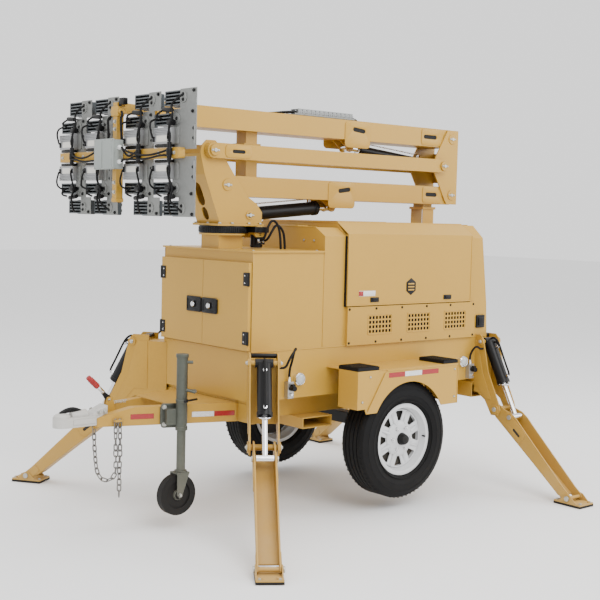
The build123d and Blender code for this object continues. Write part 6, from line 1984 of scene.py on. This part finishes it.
    def leads(self) -> None:
        """Adds the fixed leads between lamps, drivers and junction box, with their connectors."""
        draw = random.Random(7)
        leads = Piece("lamp_leads", self.body, Coats.RUBBER)
        plugs = Piece("lamp_connectors", self.body, Coats.BLACK)
        h = self.height
        for near in self.columns:
            gap = near - 34
            way = 1 if near > 0 else -1
            plugs.bar((-1330, gap, h + 52), (-1330, gap, h - 46), 11, 20, 2)
            plugs.bar((-1330, gap, h + 22), (-1330, gap, h - 14), 14.5, 20, 2)
            plugs.bar((-1298, near + 70, h + 218), (-1298, near - 6, h + 212), 12, 18, 3)
            plugs.bar((-1298, near - 34, h - 214), (-1298, near + 44, h - 224), 12, 18, 3)
            plugs.bar((-1296, near - 16, h + 150), (-1296, near + 26, h + 152), 16, 20, 4)
            plugs.bar((-1296, near - 10, h - 176), (-1296, near + 30, h - 172), 18, 20, 4)
            for sign in (-1, 1):
                j = [draw.uniform(-12, 12) for _ in range(8)]
                if sign > 0 or near in (184, -504):
                    leads.tube([(-1276, near - 64, h + sign * 286), (-1304, near - 66 + j[1], h + sign * 268),
                                (-1320, near - 30 + j[2], h + sign * 232),
                                (-1326, near - 62 + j[3], h + sign * 178),
                                (-1324, gap + 14 + j[4], h + sign * 122), (-1328, gap - 8, h + sign * 84),
                                (-1330, gap, h + sign * 50)], 5.5)
                leads.tube([(-1282, near + 150 + j[5], h + sign * 176),
                            (-1312, near + 160 + j[6], h + sign * 168),
                            (-1322, near + 156, h + sign * 138), (-1320, near + 148, h + sign * 104),
                            (-1314, near + 142, h + sign * 78)], 5)
                leads.tube([(-1312, near + 8, h + sign * 72), (-1322, near - 6, h + sign * 84),
                            (-1328, near - 26, h + sign * 112 + j[7]), (-1318, near - 30, h + sign * 160),
                            (-1300, near - 6, h + sign * 186), (-1290, near + 24, h + sign * 192)], 5)
                leads.tube([(-1300, near + 72, h + sign * 214), (-1318, near + 94, h + sign * 208 + j[0]),
                            (-1316, near + 104, h + sign * 188), (-1290, near + 96, h + sign * 172)], 5)
                inner = 120 * way
                leads.tube([(-1331, gap, h + sign * 18), (-1340, gap - way * 20, h + sign * 6),
                            (-1346, (gap + inner) / 2, h - 24 + sign * 8),
                            (-1348, inner + way * 14, h + sign * 22),
                            (-1345, inner, h + 1 + sign * 37)], 5.5)
            leads.tube([(-1290, near + 20, h - 196), (-1318, near - 4, h - 214), (-1322, near - 26, h - 250),
                        (-1308, near - 6, h - 286), (-1280, near + 18, h - 300)], 5.5)
        for y, top in ((-72, 2240), (58, 2226)):
            leads.tube([(-1318, y, h + 78), (-1322, y - 4, h + 130), (-1322, y + 6, h + 190),
                        (-1312, y - 4, top - 30), (-1300, y * 0.4, top - 14)], 6.5)
        leads.done()
        plugs.done()

    def top(self) -> None:
        """Adds the tilt bracket's cap, light sensor and the post's feet."""
        tilt = Piece("tilt_bracket", self.body, Coats.SAND)
        tilt.box((-1322, -1276), (-34, 34), (2196, 2250), 8)
        tilt.bar((-1300, -46, 2222), (-1300, 46, 2222), 17, 26, 3)
        tilt.box((-1319, -1271), (-24, 24), (1748, 1768), 4)
        tilt.done()
        sensor = Piece("light_sensor", self.body, Coats.BLACK)
        sensor.box((-1312, -1284), (-76, -30), (2256, 2292), 5)
        sensor.bar((-1298, -20, 2250), (-1298, -20, 2276), 9, 18, 2)
        sensor.done()
        ends = Piece("cross_tube_caps", self.body, Coats.SAND)
        for s in (-1, 1):
            ends.box((-1314, -1276), tuple(sorted((s * 590, s * 596))), (1967, 2017), 2)
        ends.done()
        bolts = [spot((-1315, y, z), Facing.FRONT) for y, z in ((0, 2130), (0, 2170), (0, 1850), (0, 1800))]
        bolts += [spot((-1315, y, 1992), Facing.FRONT, scale=0.9) for y in (-560, -420, -140, 140, 330, 560)]
        on_spots("cross_frame_bolts", self.body, Shape.HEX_BOLT, Coats.ZINC, bolts)

    def build(self) -> None:
        """Builds the lamp head's details."""
        self.lamps()
        self.drivers()
        self.junction()
        self.brackets()
        self.leads()
        self.top()


# ---- studio --------------------------------------------------------------------------------

@dataclass
class Studio:
    """Camera, pale floor and soft lights."""

    eye: tuple[float, float, float] = (-4450.6, -5236.2, 1690.1)
    yaw: float = 49.68
    pitch: float = -4.166
    roll: float = 1.4326
    lens: float = 67.99

    def camera(self) -> None:
        """Makes the camera."""
        yaw, pitch, roll = (math.radians(v) for v in (self.yaw, self.pitch, self.roll))
        ahead = Vector((math.cos(yaw) * math.cos(pitch), math.sin(yaw) * math.cos(pitch), math.sin(pitch)))
        right = Vector((math.sin(yaw), -math.cos(yaw), 0))
        up = right.cross(ahead)
        across = right * math.cos(roll) + up * math.sin(roll)
        above = up * math.cos(roll) - right * math.sin(roll)
        camera = link(bpy.data.objects.new("camera", bpy.data.cameras.new("camera")))
        turn = Matrix((across, above, -ahead)).transposed().to_4x4()
        camera.matrix_world = Matrix.Translation(station(self.eye)) @ turn
        camera.data.lens, camera.data.sensor_width = self.lens, 36.0
        camera.data.clip_end = 200.0
        bpy.context.scene.camera = camera

    def lights(self) -> None:
        """Makes the soft lights and the pale world."""
        for name, place, aim, size, power in (
                ("key", (-1.6, -6.6, 6.2), (0, 0, 0.9), 4.5, 450),
                ("fill", (-6.0, 3.5, 3.5), (0, 0, 1.0), 4.0, 40),
                ("side", (5.5, -5.0, 4.0), (0.3, 0, 0.8), 4.0, 180),
                ("top", (0.5, 0.5, 7.5), (0, 0, 0), 5.0, 260)):
            light = bpy.data.lights.new(name, "AREA")
            light.size, light.energy = size, power
            lamp = link(bpy.data.objects.new(name, light))
            way = Vector(aim) - Vector(place)
            lamp.matrix_world = Matrix.Translation(place) @ way.to_track_quat("-Z", "Y").to_matrix().to_4x4()
        world = bpy.data.worlds.new("studio")
        world.use_nodes = True
        backdrop = world.node_tree.nodes["Background"]
        backdrop.inputs[0].default_value = (1.0, 1.0, 1.0, 1)
        backdrop.inputs[1].default_value = 1.4
        bpy.context.scene.world = world

    def floor(self) -> None:
        """Makes the floor."""
        mesh = bpy.data.meshes.new("floor")
        mesh.from_pydata([(-40, -40, -0.002), (40, -40, -0.002), (40, 40, -0.002), (-40, 40, -0.002)],
                         [], [(0, 1, 2, 3)])
        paint = bpy.data.materials.new("pale_floor")
        paint.use_nodes = True
        paint.node_tree.nodes["Principled BSDF"].inputs["Base Color"].default_value = (0.86, 0.86, 0.86, 1)
        paint.node_tree.nodes["Principled BSDF"].inputs["Roughness"].default_value = 0.9
        mesh.materials.append(paint)
        link(bpy.data.objects.new("floor", mesh))


def main() -> None:
    """Builds the whole scene in order."""
    studio = Studio()
    studio.camera()
    SWAG.build()
    DROP.build()
    studio.lights()
    studio.floor()
    CoatedNodes().build()
    parts = [Drawbar(), *(RoadWheel(side) for side in Side), *(Mudguard(side) for side in Side),
             Cabinet(), Housing(), Boom(), *(Outrigger(corner) for corner in Corner), ValveBlocks(),
             LampHead()]
    for part in parts:
        part.build()
        log.info("%s is done", type(part).__name__)


if __name__ == "__main__":
    main()
